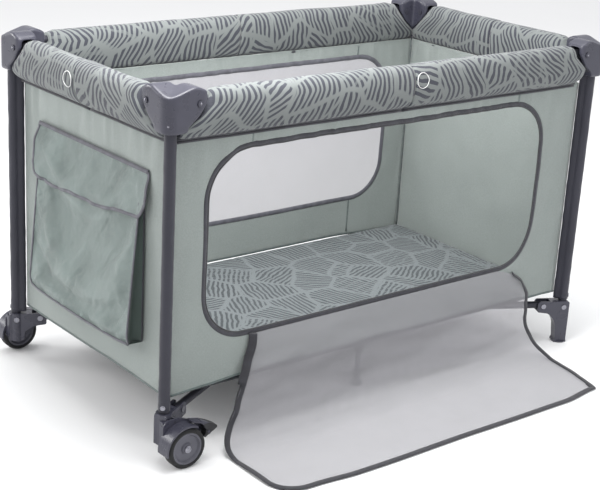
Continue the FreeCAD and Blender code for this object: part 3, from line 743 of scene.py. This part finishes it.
# ---------------------------------------------------------------- walls
WALL_BODY = {"front": "leg_front_left", "left": "leg_front_left", "back": "leg_back_left",
             "right": "leg_front_right"}
WALL_HALF = RIGHT_X - 0.0015
END_HALF = BACK_Y - CENTRE_Y - 0.004
HALF = {"front": WALL_HALF, "back": WALL_HALF, "left": END_HALF, "right": END_HALF}


def shrink(obj, side, body=None):
    """A piece on a wall rides on its wall's body, or on the body given, with a mesh of its own."""
    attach(obj, body or WALL_BODY[side])
    if side in ("front", "back"):
        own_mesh(obj)
    else:
        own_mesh(obj)


def wall_point(side, s, z, out=0.0):
    """A place on a wall: s along it and out away from the bed."""
    if side == "front":
        return Vector((s, FRONT_Y - out, z))
    if side == "back":
        return Vector((s, BACK_Y + out, z))
    if side == "left":
        return Vector((LEFT_X - out, CENTRE_Y + s, z))
    return Vector((RIGHT_X + out, CENTRE_Y + s, z))


def slack(side, s, z):
    """How far a wall stands out of its plane: bowed, and gathered under the piping."""
    seed = {"front": 2, "back": 5, "left": 8, "right": 11}[side]
    edge = 1 - abs(s) / HALF[side]
    height = min(1, max(0, (z - WALL_LOW) / (WALL_HIGH - WALL_LOW)))
    bow = -0.0040 * math.sin(math.pi * height) * min(1.0, 3 * edge)
    top = 1 - smooth(WALL_HIGH - z, 0.010, 0.130)
    gather = 0.0044 * folds(s, z, seed, 48.0, 7.0) * top
    by_post = (1 - smooth(edge, 0.0, 0.45)) * smooth(edge, 0.0, 0.03)
    pull = 0.0040 * folds(s - 0.35 * (z - 0.4), z, seed + 1, 16.0, 6.0) * by_post
    wave = 0.0030 * ripple(s, z, seed + 2, 5.0) + 0.0012 * ripple(s, z, seed + 3, 14.0)
    return (bow + gather + pull + wave) * smooth(edge, 0.0, 0.02)


def sew(name, path, wide, thick, facing, look, side, body=None,
        closed=False):
    """A strip sewn to a wall, or to a piece that folds with that wall."""
    obj = strip(name, path, wide, thick, facing, closed)
    dress(obj, look)
    shrink(obj, side, body)


def on_wall(side, s, z, out=0.0):
    """A place on the wall's slack cloth."""
    return wall_point(side, s, z, out + slack(side, s, z))


def outward_of(side):
    return wall_point(side, 0, 0, 1) - wall_point(side, 0, 0, 0)


def ring_panel(name, side, hole, count=360, rings=14):
    """A wall with an opening, as rings of quads from the hole's edge to the wall's edge."""
    half, low, high = WALL_HALF, WALL_LOW, WALL_HIGH
    inner = resample(hole, count)
    cx, cz = (sum(p[k] for p in inner) / count for k in (0, 1))
    outer = []
    for x, z in inner:
        dx, dz = x - cx, z - cz
        reach = min((half - cx if dx > 0 else half + cx) / max(abs(dx), 1e-6),
                    (high - cz if dz > 0 else cz - low) / max(abs(dz), 1e-6))
        outer.append((cx + dx * reach, cz + dz * reach))
    for corner in ((-half, low), (half, low), (half, high), (-half, high)):
        nearest = min(range(count), key=lambda k: math.dist(outer[k], corner))
        outer[nearest] = corner
    points, uvs = [], []
    for ring in range(rings + 1):
        t = ring / rings
        for (x0, z0), (x1, z1) in zip(inner, outer):
            x, z = mix(x0, x1, t), mix(z0, z1, t)
            z += hem_rise(side, x, z)
            points.append(on_wall(side, x, z))
            uvs.append((x, z))
    faces = [(a, b, b + count, a + count) for a, b in ring_pairs(rings, count)]
    return new_mesh(name, points, faces, uvs)


def hem_rise(side, x, z):
    """The long walls' lower hem is pulled up a little between the corners."""
    if side not in ("front", "back"):
        return 0.0
    return 0.010 * smooth(1 - abs(x) / WALL_HALF, 0.0, 0.45) * (1 - smooth(z, WALL_LOW, 0.23))


def plain_panel(name, side):
    def place(u, v):
        return on_wall(side, mix(-END_HALF, END_HALF, u), mix(WALL_LOW, WALL_HIGH, v))

    return grid(name, 76, 72, place, cloth=lambda u, v: (u * 2 * END_HALF, v * 0.546))


def edge_binding(name, side, outline, wide, thick, look):
    """Tape sewn round an opening."""
    path = [on_wall(side, s, z) for s, z in resample(outline, 260)]
    sew(name, path, wide, thick, outward_of(side), look, side, closed=True)


def wall_seam(name, side, s, low, high, wide=0.006, out=0.0):
    count = max(6, int((high - low) / 0.02))
    path = [on_wall(side, s, mix(low, high, k / count), out) for k in range(count + 1)]
    sew(name, path, wide, 0.0026, outward_of(side), seam_tape, side)


DOOR = dict(x0=-0.510, x1=0.480, z0=0.232, z1=0.650, radius=0.110)
WINDOW = dict(x0=-0.500, x1=0.506, z0=0.250, z1=0.641, radius=0.100)


def opening(edge, grow=0.0):
    return rounded_outline(edge["x0"] - grow, edge["x1"] + grow, edge["z0"] - grow,
                           edge["z1"] + grow, edge["radius"] + grow)


def rounded_area(edge):
    """An opening's size and area."""
    width, height = edge["x1"] - edge["x0"], edge["z1"] - edge["z0"]
    return width, height, width * height - (4 - math.pi) * edge["radius"] ** 2


def long_wall(side, edge):
    obj = ring_panel(f"wall_{side}_cloth", side, opening(edge))
    finish_wall(obj, side, [f"post_{side}_left"],
                area=2 * WALL_HALF * (WALL_HIGH - WALL_LOW) - rounded_area(edge)[2])


def finish_wall(obj, side, posts, **more):
    thicken(obj, CLOTH)
    dress(obj, plain)
    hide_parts(f"wall_{side}")
    shrink(obj, side)


def front_wall():
    long_wall("front", DOOR)
    edge_binding("door_zip_tape", "front", opening(DOOR, -0.001), 0.0105, 0.0034, dark_tape)
    edge_binding("door_zip_teeth", "front", opening(DOOR, -0.0075), 0.0035, 0.0030, zip_teeth)
    for index, s in enumerate((-0.400, 0.385)):
        wall_seam(f"front_seam_{index}", "front", s, DOOR["z1"] - 0.002, WALL_HIGH - 0.006)
    hem("front")


def back_wall():
    long_wall("back", WINDOW)
    edge_binding("window_binding", "back", opening(WINDOW, 0.002), 0.013, 0.0042, grey_tape)
    for index, s in enumerate((-0.400, 0.400)):
        wall_seam(f"back_seam_high_{index}", "back", s, WINDOW["z1"] + 0.004, WALL_HIGH - 0.006)
        wall_seam(f"back_seam_low_{index}", "back", s, 0.150, WINDOW["z0"] - 0.004)
    hem("back")
    window()


def window():
    count = 220
    outline = resample(opening(WINDOW, 0.001), count)
    cx = (WINDOW["x0"] + WINDOW["x1"]) / 2
    cz = (WINDOW["z0"] + WINDOW["z1"]) / 2
    points, uvs = [on_wall("back", cx, cz)], [(cx, cz)]
    rings = 12
    for ring in range(1, rings + 1):
        t = ring / rings
        for x, z in outline:
            s, h = mix(cx, x, t), mix(cz, z, t)
            points.append(on_wall("back", s, h))
            uvs.append((s, h))
    faces = [(0, 1 + k, 1 + (k + 1) % count) for k in range(count)]
    faces += [(a, a + count, b + count, b) for a, b in ring_pairs(rings - 1, count, 1)]
    obj = new_mesh("window_net", points, faces, uvs)
    dress(obj, window_net)
    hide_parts("window_back")
    shrink(obj, "back")


def end_walls():
    for side in ("left", "right"):
        finish_wall(plain_panel(f"wall_{side}_cloth", side), side, [f"post_front_{side}"])
        hem(side)


def hem(side):
    """A dark folded edge along the bottom of a wall, and stitched corners inside."""
    half = HALF[side]
    path = []
    count = 60
    for k in range(count + 1):
        s, z = mix(-half, half, k / count), WALL_LOW + 0.002
        path.append(on_wall(side, s, z + hem_rise(side, s, z)))
    sew(f"hem_{side}", path, 0.006, 0.003, outward_of(side), hem_tape, side)
    if side in ("front", "back"):
        for end, name in ((-1, "left"), (1, "right")):
            wall_seam(f"corner_seam_{side}_{name}", side, end * (half - 0.002), WALL_LOW + 0.004,
                      WALL_HIGH - 0.004, wide=0.005, out=-0.003)


# ---------------------------------------------------------------- sleeves round the posts
SLEEVE_FOOT, STUD_Z = 0.117, 0.126


def post_sleeves():
    """Each post is held in a dark sleeve whose tail is sewn to the walls' corner."""
    low, high = SLEEVE_FOOT, CAP_LOW + 0.006
    radius = TUBE + 0.0012
    for name, (sign_x, sign_y) in CORNERS.items():
        axis = post_axis(name)
        corner = Vector((sign_x * RIGHT_X, CENTRE_Y + sign_y * (BACK_Y - CENTRE_Y), 0))
        tail = corner - axis
        reach = tail.length - 0.0010
        aim = math.atan2(tail.y, tail.x)

        def place(u, v, axis=axis, reach=reach, aim=aim, seed=sign_x * 2 + sign_y):
            angle = 2 * math.pi * u
            z = mix(low, high, v)
            lean = max(0.0, math.cos(angle))
            out = radius + (reach - radius) * lean ** 14
            crimp = 0.0007 * ripple(angle * 0.02, z, seed + 5, 45.0)
            crimp += 0.0006 * ripple(0.0, z, seed + 6, 110.0) * (1 - smooth(z, low, low + 0.16))
            out += crimp
            return axis + Vector((out * math.cos(aim + angle), out * math.sin(aim + angle), z))

        obj = grid(f"sleeve_{name}", 72, 96, place, around=True,
                   cloth=lambda u, v: (u * 0.09, v * 0.6))
        thicken(obj, 0.0007, 1.0)
        dress(obj, sleeve_cloth)
        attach(obj, f"leg_{name}")
        stud(name, axis, aim)


def stud(name, axis, aim):
    """The press stud that closes the foot of a sleeve."""
    out = axis + Vector((math.cos(aim + math.pi), math.sin(aim + math.pi), 0)) * (TUBE + 0.0016)
    dome(f"stud_{name}", name, out + Vector((0, 0, STUD_Z)), aim + math.pi, 0.0058, 0.0024)


def dome(name, corner, spot, aim, radius, height):
    """A low steel button that faces a level direction and rides on a post."""
    out = Vector((math.cos(aim), math.sin(aim), 0))
    side = Vector((-math.sin(aim), math.cos(aim), 0))
    profile = [(1.0, 0.0), (1.0, 0.35), (0.9, 0.62), (0.7, 0.8), (0.45, 0.93), (0.2, 0.99)]
    points, steps = [], 28
    for r, h in profile:
        for k in range(steps):
            a = 2 * math.pi * k / steps
            points.append(spot + side * (r * radius * math.cos(a)) + out * (h * height)
                          + Vector((0, 0, r * radius * math.sin(a))))
    faces = [(a, b, b + steps, a + steps) for a, b in ring_pairs(len(profile) - 1, steps)]
    faces.append(tuple(range(steps))[::-1])
    faces.append(tuple((len(profile) - 1) * steps + k for k in range(steps)))
    obj = new_mesh(name, points, faces)
    dress(obj, bright_steel)
    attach(obj, f"leg_{corner}")


# ---------------------------------------------------------------- floor and mattress
def floor():
    """The floor cloth in four quarters, each carried by a diagonal arm."""
    half_x, half_y = (FLOOR_HIGH.x - FLOOR_LOW.x) / 2, (FLOOR_HIGH.y - FLOOR_LOW.y) / 2
    top = FLOOR_HIGH.z - 0.0004
    for name, (sign_x, sign_y) in CORNERS.items():
        def place(u, v, sign_x=sign_x, sign_y=sign_y):
            x, y = sign_x * u * half_x, sign_y * v * half_y
            sag = -0.0008 * (1 + ripple(x, y, 21, 5.0))
            return Vector((x, CENTRE_Y + y, top + sag))

        obj = grid(f"floor_{name}", 40, 24, place, across=sign_x * sign_y < 0,
                   cloth=lambda u, v: (u * half_x, v * half_y))
        thicken(obj, GUSSET, -1.0)
        paint(obj, floor_cloth)
        if name == "front_left":
            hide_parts("floor_sheet")
        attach(obj, f"arm_{name}")
        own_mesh(obj)


def mattress():
    """A printed pad over four boards: crowned, with rounded edges and three folding seams."""
    low, high = box("mattress")
    half_x, half_y = (high.x - low.x) / 2, (high.y - low.y) / 2
    thick = high.z - low.z
    centre = (low + high) / 2
    seams = (-half_x / 2, 0.0, half_x / 2)
    round_off = thick * 0.48
    radius = 0.022

    def outline(x, y):
        """Push a square grid's corners in to a rounded plan."""
        ax, ay = abs(x) - (half_x - radius), abs(y) - (half_y - radius)
        if ax > 0 and ay > 0:
            length, direction = max(ax, ay), math.hypot(ax, ay)
            ax, ay = ax / direction * length, ay / direction * length
            x = math.copysign(half_x - radius + ax, x)
            y = math.copysign(half_y - radius + ay, y)
        return x, y

    def surface(x, y, side):
        edge = min(half_x - abs(x), half_y - abs(y))
        inset = max(0.0, round_off - edge) / round_off
        drop = thick / 2 * math.sqrt(max(0.0, 1 - inset ** 2))
        groove = sum(math.exp(-((x - s) / 0.0035) ** 2) for s in seams) * 0.0016
        soft = 0.0006 * ripple(x, y, 31, 5.0) + 0.0004 * ripple(x, y, 32, 17.0)
        crown = 0.0008 * smooth(edge, 0.0, 0.05)
        return side * max(0.0, drop - groove - 0.0014 + soft + crown)

    across, along = 96, 190
    points, uvs, faces = [], [], []
    for side in (1, -1):
        for i in range(along + 1):
            for j in range(across + 1):
                x, y = mix(-half_x, half_x, i / along), mix(-half_y, half_y, j / across)
                rx, ry = outline(x, y)
                rim = i in (0, along) or j in (0, across)
                z = 0.0 if rim else surface(x, y, side)
                points.append(Vector((rx, ry + centre.y, centre.z + z)))
                uvs.append((rx, ry))
    layer = (along + 1) * (across + 1)
    for side, base in ((1, 0), (-1, layer)):
        for i in range(along):
            for j in range(across):
                a = base + i * (across + 1) + j
                face = (a, a + across + 1, a + across + 2, a + 1)
                faces.append(face if side > 0 else face[::-1])
    obj = new_mesh("mattress_pad", points, faces, uvs)
    merge_seam(obj)
    dress(obj, mattress_print)
    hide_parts("mattress")
    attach(obj, "mattress")
    rim_x, rim_y = half_x - 0.0012, half_y - 0.0012
    loop = rounded_outline(-rim_x, rim_x, -rim_y, rim_y, radius)
    path = [Vector((x, y + centre.y, centre.z)) for x, y in resample(loop, 300)]
    cord = strip("mattress_piping", path, 0.0046, 0.0046, Vector((0, 0, 1)), closed=True)
    dress(cord, hem_tape)
    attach(cord, "mattress")


# ---------------------------------------------------------------- the lowered mesh door
KNEE = Vector(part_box("door_lower")[1])     # back edge of the part on the floor
HINGE_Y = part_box("door_upper")[1][1]
FREE_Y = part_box("door_lower")[0][1]
SILL = DOOR["z0"]


def door_profile(t):
    """Height and reach of the door's middle line: it hangs, bends on the floor and lies there."""
    knee = Vector((KNEE.y + 0.002, 0.0022))
    start = Vector((HINGE_Y - 0.0005, SILL))
    if t <= 1.0:
        first = start + Vector((-0.010, -0.085))
        second = knee + Vector((0.085, 0.004))
        a, b = 1 - t, t
        return start * a ** 3 + first * (3 * a * a * b) + second * (3 * a * b * b) + knee * b ** 3
    return Vector((mix(knee.x, FREE_Y, t - 1), 0.0022))


# the door's edges: distance from the sill and place along the wall
HANGING = 0.258
LYING = abs(FREE_Y - KNEE.y)
LEFT_EDGE = [(0.0, -0.383), (0.05, -0.400), (0.10, -0.421), (0.155, -0.452), (0.205, -0.483),
             (0.255, -0.489), (0.50, -0.489)]
RIGHT_EDGE = [(0.0, 0.425), (0.025, 0.455), (0.055, 0.470), (0.10, 0.474), (0.14, 0.476),
              (0.185, 0.484), (0.235, 0.497), (0.29, 0.491), (0.36, 0.476), (0.50, 0.440)]
FREE_CORNER = 0.070                        # the rounded corner on the left
EDGE_STEPS, CORNER_STEP = 60, 51           # points along a side's tape, and where a corner starts


def between(table, at):
    """A smooth reading between a table's rows."""
    index = next((i for i in range(len(table) - 1) if at <= table[i + 1][0]), len(table) - 2)
    rows = [table[max(0, min(len(table) - 1, index + k))][1] for k in (-1, 0, 1, 2)]
    f = (at - table[index][0]) / (table[index + 1][0] - table[index][0])
    f = min(1.0, max(0.0, f))
    return rows[1] + 0.5 * f * (rows[2] - rows[0] + f * (
        2 * rows[0] - 5 * rows[1] + 4 * rows[2] - rows[3]
        + f * (3 * (rows[1] - rows[2]) + rows[3] - rows[0])))


def round_corner(rest, radius):
    """How far a rounded corner draws an edge in, at a distance from its end."""
    if rest >= radius:
        return 0.0
    return radius - math.sqrt(max(0, radius ** 2 - (radius - rest) ** 2))


def door_side(t, edge):
    """Where the left (-1) or right (1) edge runs."""
    distance = t * HANGING if t <= 1 else HANGING + (t - 1) * LYING
    if edge > 0:
        return between(RIGHT_EDGE, distance)
    return between(LEFT_EDGE, distance) + round_corner(HANGING + LYING - distance, FREE_CORNER)


def door_point(u, t):
    x = mix(door_side(t, -1), door_side(t, 1), u)
    y, z = door_profile(t)
    lift = 0.0
    if t <= 1.0:
        belly = math.sin(math.pi * t)
        swing = 0.012 * belly * ripple(x, t, 41, 3.1) + 0.006 * belly * ripple(x, t, 43, 9.0)
        flutter = smooth(abs(u - 0.5), 0.36, 0.5)
        swing += 0.005 * flutter * belly * math.sin(9.0 * t + 3 * u)
        z = min(z, SILL) - 0.016 * smooth(abs(u - 0.5), 0.42, 0.5) * (1 - t) ** 2 * (u > 0.5)
    else:
        free = t - 1
        arch = math.sin(math.pi * min(1, free * 1.2))
        lift = 0.007 * max(0.0, ripple(x, free * 0.18, 42, 7.0)) * arch
        corners = 0.016 * smooth(u, 0.86, 1.0) + 0.010 * (1 - smooth(u, 0.0, 0.14))
        swing = 0.006 * ripple(x, 0.0, 45, 4.0) * free + corners * free ** 2
        swing -= 0.004 * smooth(u, 0.45, 0.8) * free
    return Vector((x, y + swing, max(0.0016, z + lift)))


def bind_door(name, part, path, wide, thick, facing):
    """Tape sewn round the door's edge."""
    sew(name, path, wide, thick, facing, door_tape, "front", f"door_{part}")


def door():
    width, radius = DOOR["x1"] - DOOR["x0"], DOOR["radius"]
    parts = {  # rows of the grid, span of t, length, how it is held and on what
        "upper": (54, 0.0, HANGING, "draped", "door_zip_tape"),
        "lower": (40, 1.0, LYING, "laid", "door_upper_net"),
    }
    nets = {}
    for part, (rows, start, *_) in parts.items():
        nets[part] = grid(f"door_{part}_net", 150, rows,
                          lambda u, v: door_point(u, start + v),
                          cloth=lambda u, v: (u * 0.95, (start + v) * 0.22))
        dress(nets[part], net)
        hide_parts(f"door_{part}")
    for part, (_, start, length, held, below) in parts.items():
        shrink(nets[part], "front", f"door_{part}")
        width * length - (2 - math.pi / 2) * radius ** 2
        last = EDGE_STEPS if part == "upper" else CORNER_STEP
        for edge, name, inward in ((0.0, "left", 0.004), (1.0, "right", -0.004)):
            path = [door_point(edge, start + k / EDGE_STEPS) + Vector((inward, 0, 0.0008))
                    for k in range(last + 1)]
            bind_door(f"door_{part}_binding_{name}", part, path, 0.013, 0.0032,
                      Vector((0, -0.45, 1.0)))
    bind_door("door_lower_binding_front", "lower", free_edge_path(), 0.0150, 0.0036,
              Vector((0, 0, 1)))
    path = [door_point(0.0, 0.36 * k / 16)
            + Vector((0.001 + 0.004 * math.sin(k / 4), -0.0030, 0.0010)) for k in range(17)]
    bind_door("door_zip_end", "upper", path, 0.0190, 0.0034, Vector((-0.5, -0.6, 0.5)))


def free_edge_path():
    """Round the two free corners and along the front of the door."""
    low = 1 + CORNER_STEP / EDGE_STEPS
    left = [(0.0, mix(low, 2.0, k / 14), 0.004) for k in range(15)]
    front = [(k / 80, 2.0, 0) for k in range(1, 80)]
    right = [(1.0, mix(2.0, low, k / 14), -0.004) for k in range(15)]
    return [door_point(u, t) + Vector((inward, 0.003, 0.0008))
            for u, t, inward in left + front + right]


# ---------------------------------------------------------------- pocket
POCKET_LOW, POCKET_HIGH = box("pocket")
FLAP_LOW, FLAP_HIGH = box("pocket_flap")


def pocket():
    """A bag sewn to the left wall, shallow at its mouth, with pleated sides and bound edges."""
    y0, y1 = POCKET_LOW.y + 0.002, POCKET_HIGH.y - 0.002
    z0, z1 = POCKET_LOW.z, POCKET_HIGH.z - 0.004
    wall = POCKET_HIGH.x + 0.0004
    depth = wall - POCKET_LOW.x

    def face_point(u, v):
        """Fuller low down, drawn in to the wall along the bottom and towards the mouth."""
        y, z = mix(y0, y1, u), mix(z0 + 0.002, z1, v)
        low_edge = smooth(v, 0.0, 0.07)
        side_edge = smooth(min(u, 1 - u), 0.0, 0.10)
        full = mix(0.97, 0.22, v) * mix(0.86, 1.0, low_edge) * mix(0.90, 1.0, side_edge)
        crease = 0.0085 * folds(y + 0.55 * z, z, 51, 13.0, 4.0) * smooth(v, 0.02, 0.3)
        crease += 0.0060 * folds(z - 0.6 * y, y, 52, 24.0, 4.0) * (1 - smooth(v, 0.08, 0.45))
        crease += 0.0022 * folds(z + 0.9 * y, y, 54, 60.0, 3.0) * (1 - smooth(v, 0.05, 0.30))
        crease += 0.0060 * ripple(y, z, 53, 7.0)
        out = depth * full + (crease - 0.0015) * side_edge * smooth(v, 0.0, 0.05) * mix(
            1.0, 0.4, smooth(v, 0.75, 1.0))
        drop = -0.005 * math.sin(math.pi * u) * (1 - v) ** 2
        return Vector((wall - max(0.004, min(out, depth + 0.006)), y, z + drop))

    across, up = 64, 54
    face = grid("pocket_face", across, up, face_point, cloth=lambda u, v: (u * 0.42, v * 0.34))
    settled = settle_cloth(face, lambda index: index % (up + 1) == 0
                           or index // (up + 1) in (0, across), 0.035, 0.15)
    refine(face)
    thicken(face, CLOTH)
    dress(face, pocket_cloth_painted_light)
    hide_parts("pocket")
    shrink(face, "left")
    for name, u in (("front", 0.0), ("back", 1.0)):
        def side(s, v, u=u):
            """A gusset that folds in on itself."""
            edge = face_point(u, v)
            back = Vector((wall, edge.y, edge.z))
            depth_there = 0.6 + 0.4 * math.sin(7 * v + 0.4)
            fold_in = 0.011 * math.sin(math.pi * s) * (1 if u == 0.0 else -1) * depth_there
            return back.lerp(edge, s) + Vector((0, fold_in, 0))

        obj = grid(f"pocket_side_{name}", 12, 60, side, cloth=lambda u, v: (u * 0.05, v * 0.34))
        # dark green painted shade on the pocket's side
        thicken(obj, GUSSET)
        dress(obj, gusset_cloth_painted_shade)
        shrink(obj, "left")
        for end, shift, wide, look in (("edge", 1.0, 0.0052, grey_tape),
                                       ("wall", 0.0, 0.0042, dark_tape)):
            path = [side(shift, k / 40) + Vector((-0.001, 0, 0)) for k in range(41)]
            sew(f"pocket_binding_{name}_{end}", path, wide, 0.0032, Vector((-1, 0, 0)), look,
                "left")
    path = [settled[k * (up + 1)] + Vector((-0.001, 0, 0)) for k in range(across + 1)]
    sew("pocket_binding_bottom", path, 0.0072, 0.0036, Vector((-1, 0, -0.4)), grey_tape, "left")
    bottom = grid("pocket_bottom", 60, 8,
                  lambda u, v: face_point(u, 0.0).lerp(
                      Vector((wall, face_point(u, 0).y, z0 + 0.001)), v),
                  cloth=lambda u, v: (u * 0.42, v * 0.03))
    # dark green painted shade under the pocket
    thicken(bottom, GUSSET)
    dress(bottom, gusset_cloth_painted_shade)
    shrink(bottom, "left")

    def face_x(y, z):
        """Where the settled face stands at a place on the wall."""
        column = min(across, max(0, round((y - y0) / (y1 - y0) * across)))
        row = min(up, max(0, round((z - z0 - 0.002) / (z1 - z0 - 0.002) * up)))
        return settled[column * (up + 1) + row].x

    pocket_flap(wall, face_x)


def pocket_flap(wall, face_x):
    """The flap falls over the pocket's mouth from a taped seam on the wall."""
    y0, y1 = FLAP_LOW.y + 0.003, FLAP_HIGH.y - 0.003
    top, hem_z = FLAP_HIGH.z - 0.002, FLAP_LOW.z
    lip_x, hem_x = FLAP_LOW.x + 0.0150, FLAP_LOW.x + 0.0080
    fall = [(0.0, Vector((wall - 0.0015, top))),
            (0.25, Vector((mix(wall, lip_x, 0.75), top - 0.022))),
            (0.5, Vector((lip_x, top - 0.050))),
            (0.75, Vector((mix(lip_x, hem_x, 0.6), top - 0.080))),
            (1.0, Vector((hem_x, hem_z)))]

    def place(u, v):
        inset = round_corner((1 - v) * 0.115, mix(0.042, 0.026, u))
        inset -= 0.004 * smooth(v, 0.0, 0.5)
        y = mix(y0 + inset, y1 - inset, u)
        x, z = (between([(at, spot[axis]) for at, spot in fall], v) for axis in (0, 1))
        sway = 0.0120 * folds(y + 0.9 * z, z, 61, 17.0, 3.5) * smooth(v, 0.03, 0.35)
        sway += 0.0040 * folds(y + 1.3 * z, z, 64, 42.0, 3.0) * smooth(v, 0.05, 0.4)
        sway += 0.0040 * ripple(y, z, 62, 11.0) * smooth(v, 0.0, 0.3)
        droop = (0.020 * (1 - u) - 0.006 * math.sin(math.pi * u) + 0.003 * math.sin(13 * u)) * v
        return Vector((x + sway - 0.002 * v, y, z + droop))

    across, down = 80, 24
    obj = grid("pocket_flap_cloth", across, down, place, cloth=lambda u, v: (u * 0.45, v * 0.14))
    points = settle_cloth(obj, lambda index: index % (down + 1) == 0, 0.045, 0.5, reach=0.010)
    for vertex, point in zip(obj.data.vertices, points):
        over = face_x(point.y, min(point.z, POCKET_HIGH.z - 0.012)) - 0.0025
        over = mix(over, wall - 0.001, smooth(point.z, POCKET_HIGH.z - 0.010, FLAP_HIGH.z - 0.004))
        vertex.co.x = point.x = max(min(point.x, over), FLAP_LOW.x - 0.008)
    refine(obj)
    thicken(obj, CLOTH)
    dress(obj, pocket_cloth_painted_light)
    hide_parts("pocket_flap")
    shrink(obj, "left", "pocket_flap")
    rim = points[:down + 1]
    rim += [points[k * (down + 1) + down] for k in range(1, across)]
    rim += points[across * (down + 1):][::-1]
    sew("pocket_flap_binding", [p + Vector((-0.0008, 0, 0)) for p in rim], 0.0080, 0.0036,
        Vector((-1, 0, 0.15)), grey_tape, "left", "pocket_flap")
    path = [points[k * (down + 1)] + Vector((-0.0016, 0, 0.0004)) for k in range(across + 1)]
    sew("pocket_flap_seam", path, 0.0090, 0.0034, Vector((-1, 0, 0.4)), grey_tape, "left")


# ---------------------------------------------------------------- small printed rings on the covers
def cover_face(z):
    """How far the cover's outer face stands from the rail at a height."""
    outer = COVER_SECTION[:OUTER_FACE]
    return next(mix(near, far, (z - low) / (high - low))
                for (near, low), (far, high) in zip(outer, outer[1:]) if low <= z <= high)


def printed_ring(name, side, half, along_by, z):
    """A plain ring printed on a cover."""
    rail, outward, along, _ = side_frame(side)
    radius = 0.0165
    path = []
    for k in range(56):
        a = 2 * math.pi * k / 56
        height = z + radius * math.sin(a)
        path.append(rail + outward * (cover_face(height) + 0.0030)
                    + along * (along_by + radius * math.cos(a)) + Vector((0, 0, height)))
    obj = strip(name, path, 0.0017, 0.0014, outward, closed=True)
    dress(obj, white_ink)
    ride_rail(obj, side, half)


# ---------------------------------------------------------------- room, light and camera
def room():
    extent = 14.0
    bpy.ops.mesh.primitive_plane_add(size=extent, location=(0, 2.0, 0))
    ground = bpy.context.object
    ground.name = "ground"
    look = Look("pale_floor")
    clouds = look.noise(look.place, 1.5, 2.0)
    look.shade(Base_Color=look.ramp(clouds, [(0.3, (0.89, 0.89, 0.89)), (0.7, (0.90, 0.90, 0.90))]),
               Roughness=0.9)
    paint(ground, look.material)
    world = bpy.data.worlds.new("studio")
    world.use_nodes = True
    background = world.node_tree.nodes["Background"]
    background.inputs[0].default_value = (0.98, 0.985, 1.0, 1)
    background.inputs[1].default_value = 0.92
    bpy.context.scene.world = world
    bpy.context.scene.view_settings.view_transform = "Standard"


def light(name, spot, target, size, power, colour=(1, 1, 1)):
    lamp = bpy.data.lights.new(name, "AREA")
    lamp.size = size
    lamp.energy = power
    lamp.color = colour
    obj = in_scene(name, lamp)
    obj.location = spot
    obj.rotation_euler = (Vector(target) - Vector(spot)).to_track_quat("-Z", "Y").to_euler()


def lights():
    target = (0, CENTRE_Y, 0.3)
    light("key", (-3.2, 0.6, 2.7), target, 1.2, 22, (1.0, 0.99, 0.97))
    light("rim", (-2.3, 2.5, 1.2), (-0.6, CENTRE_Y, 0.4), 0.8, 26)
    light("fill", (2.4, -3.2, 2.2), target, 1.6, 24, (0.96, 0.98, 1.0))
    light("top", (0.2, 0.6, 3.6), target, 2.2, 56)
    light("inside", (-0.45, CENTRE_Y - 0.30, 1.40), (0.50, CENTRE_Y + 0.30, 0.42), 0.7, 17.0)


CAMERA_X, CAMERA_OFFSET_Y, CAMERA_Z = -2.045, -2.454, 1.378
CAMERA_YAW, CAMERA_PITCH, CAMERA_ROLL = 39.64, 19.13, 3.27
CAMERA_LENS, SENSOR = 83.29, 36.0


def camera():
    yaw, pitch, roll = (math.radians(a) for a in (CAMERA_YAW, CAMERA_PITCH, CAMERA_ROLL))
    forward = Vector((math.sin(yaw) * math.cos(pitch), math.cos(yaw) * math.cos(pitch),
                      -math.sin(pitch)))
    right = forward.cross(Vector((0, 0, 1))).normalized()
    up = right.cross(forward)
    turned_right = right * math.cos(roll) + up * math.sin(roll)
    turned_up = up * math.cos(roll) - right * math.sin(roll)
    data = bpy.data.cameras.new("camera")
    data.lens = CAMERA_LENS
    data.sensor_width = SENSOR
    obj = in_scene("camera", data)
    turn = Matrix((turned_right, turned_up, -forward)).transposed().to_4x4()
    obj.matrix_world = Matrix.Translation((CAMERA_X, CENTRE_Y + CAMERA_OFFSET_Y, CAMERA_Z)) @ turn
    bpy.context.scene.camera = obj


finish_cad()
cap_screws()
covers()
front_wall()
back_wall()
end_walls()
post_sleeves()
floor()
mattress()
door()
pocket()
printed_ring("ring_mark_front", "front", "right", 0.018, 0.748)
printed_ring("ring_mark_left", "left", "back", -0.022, 0.738)
room()
lights()
camera()
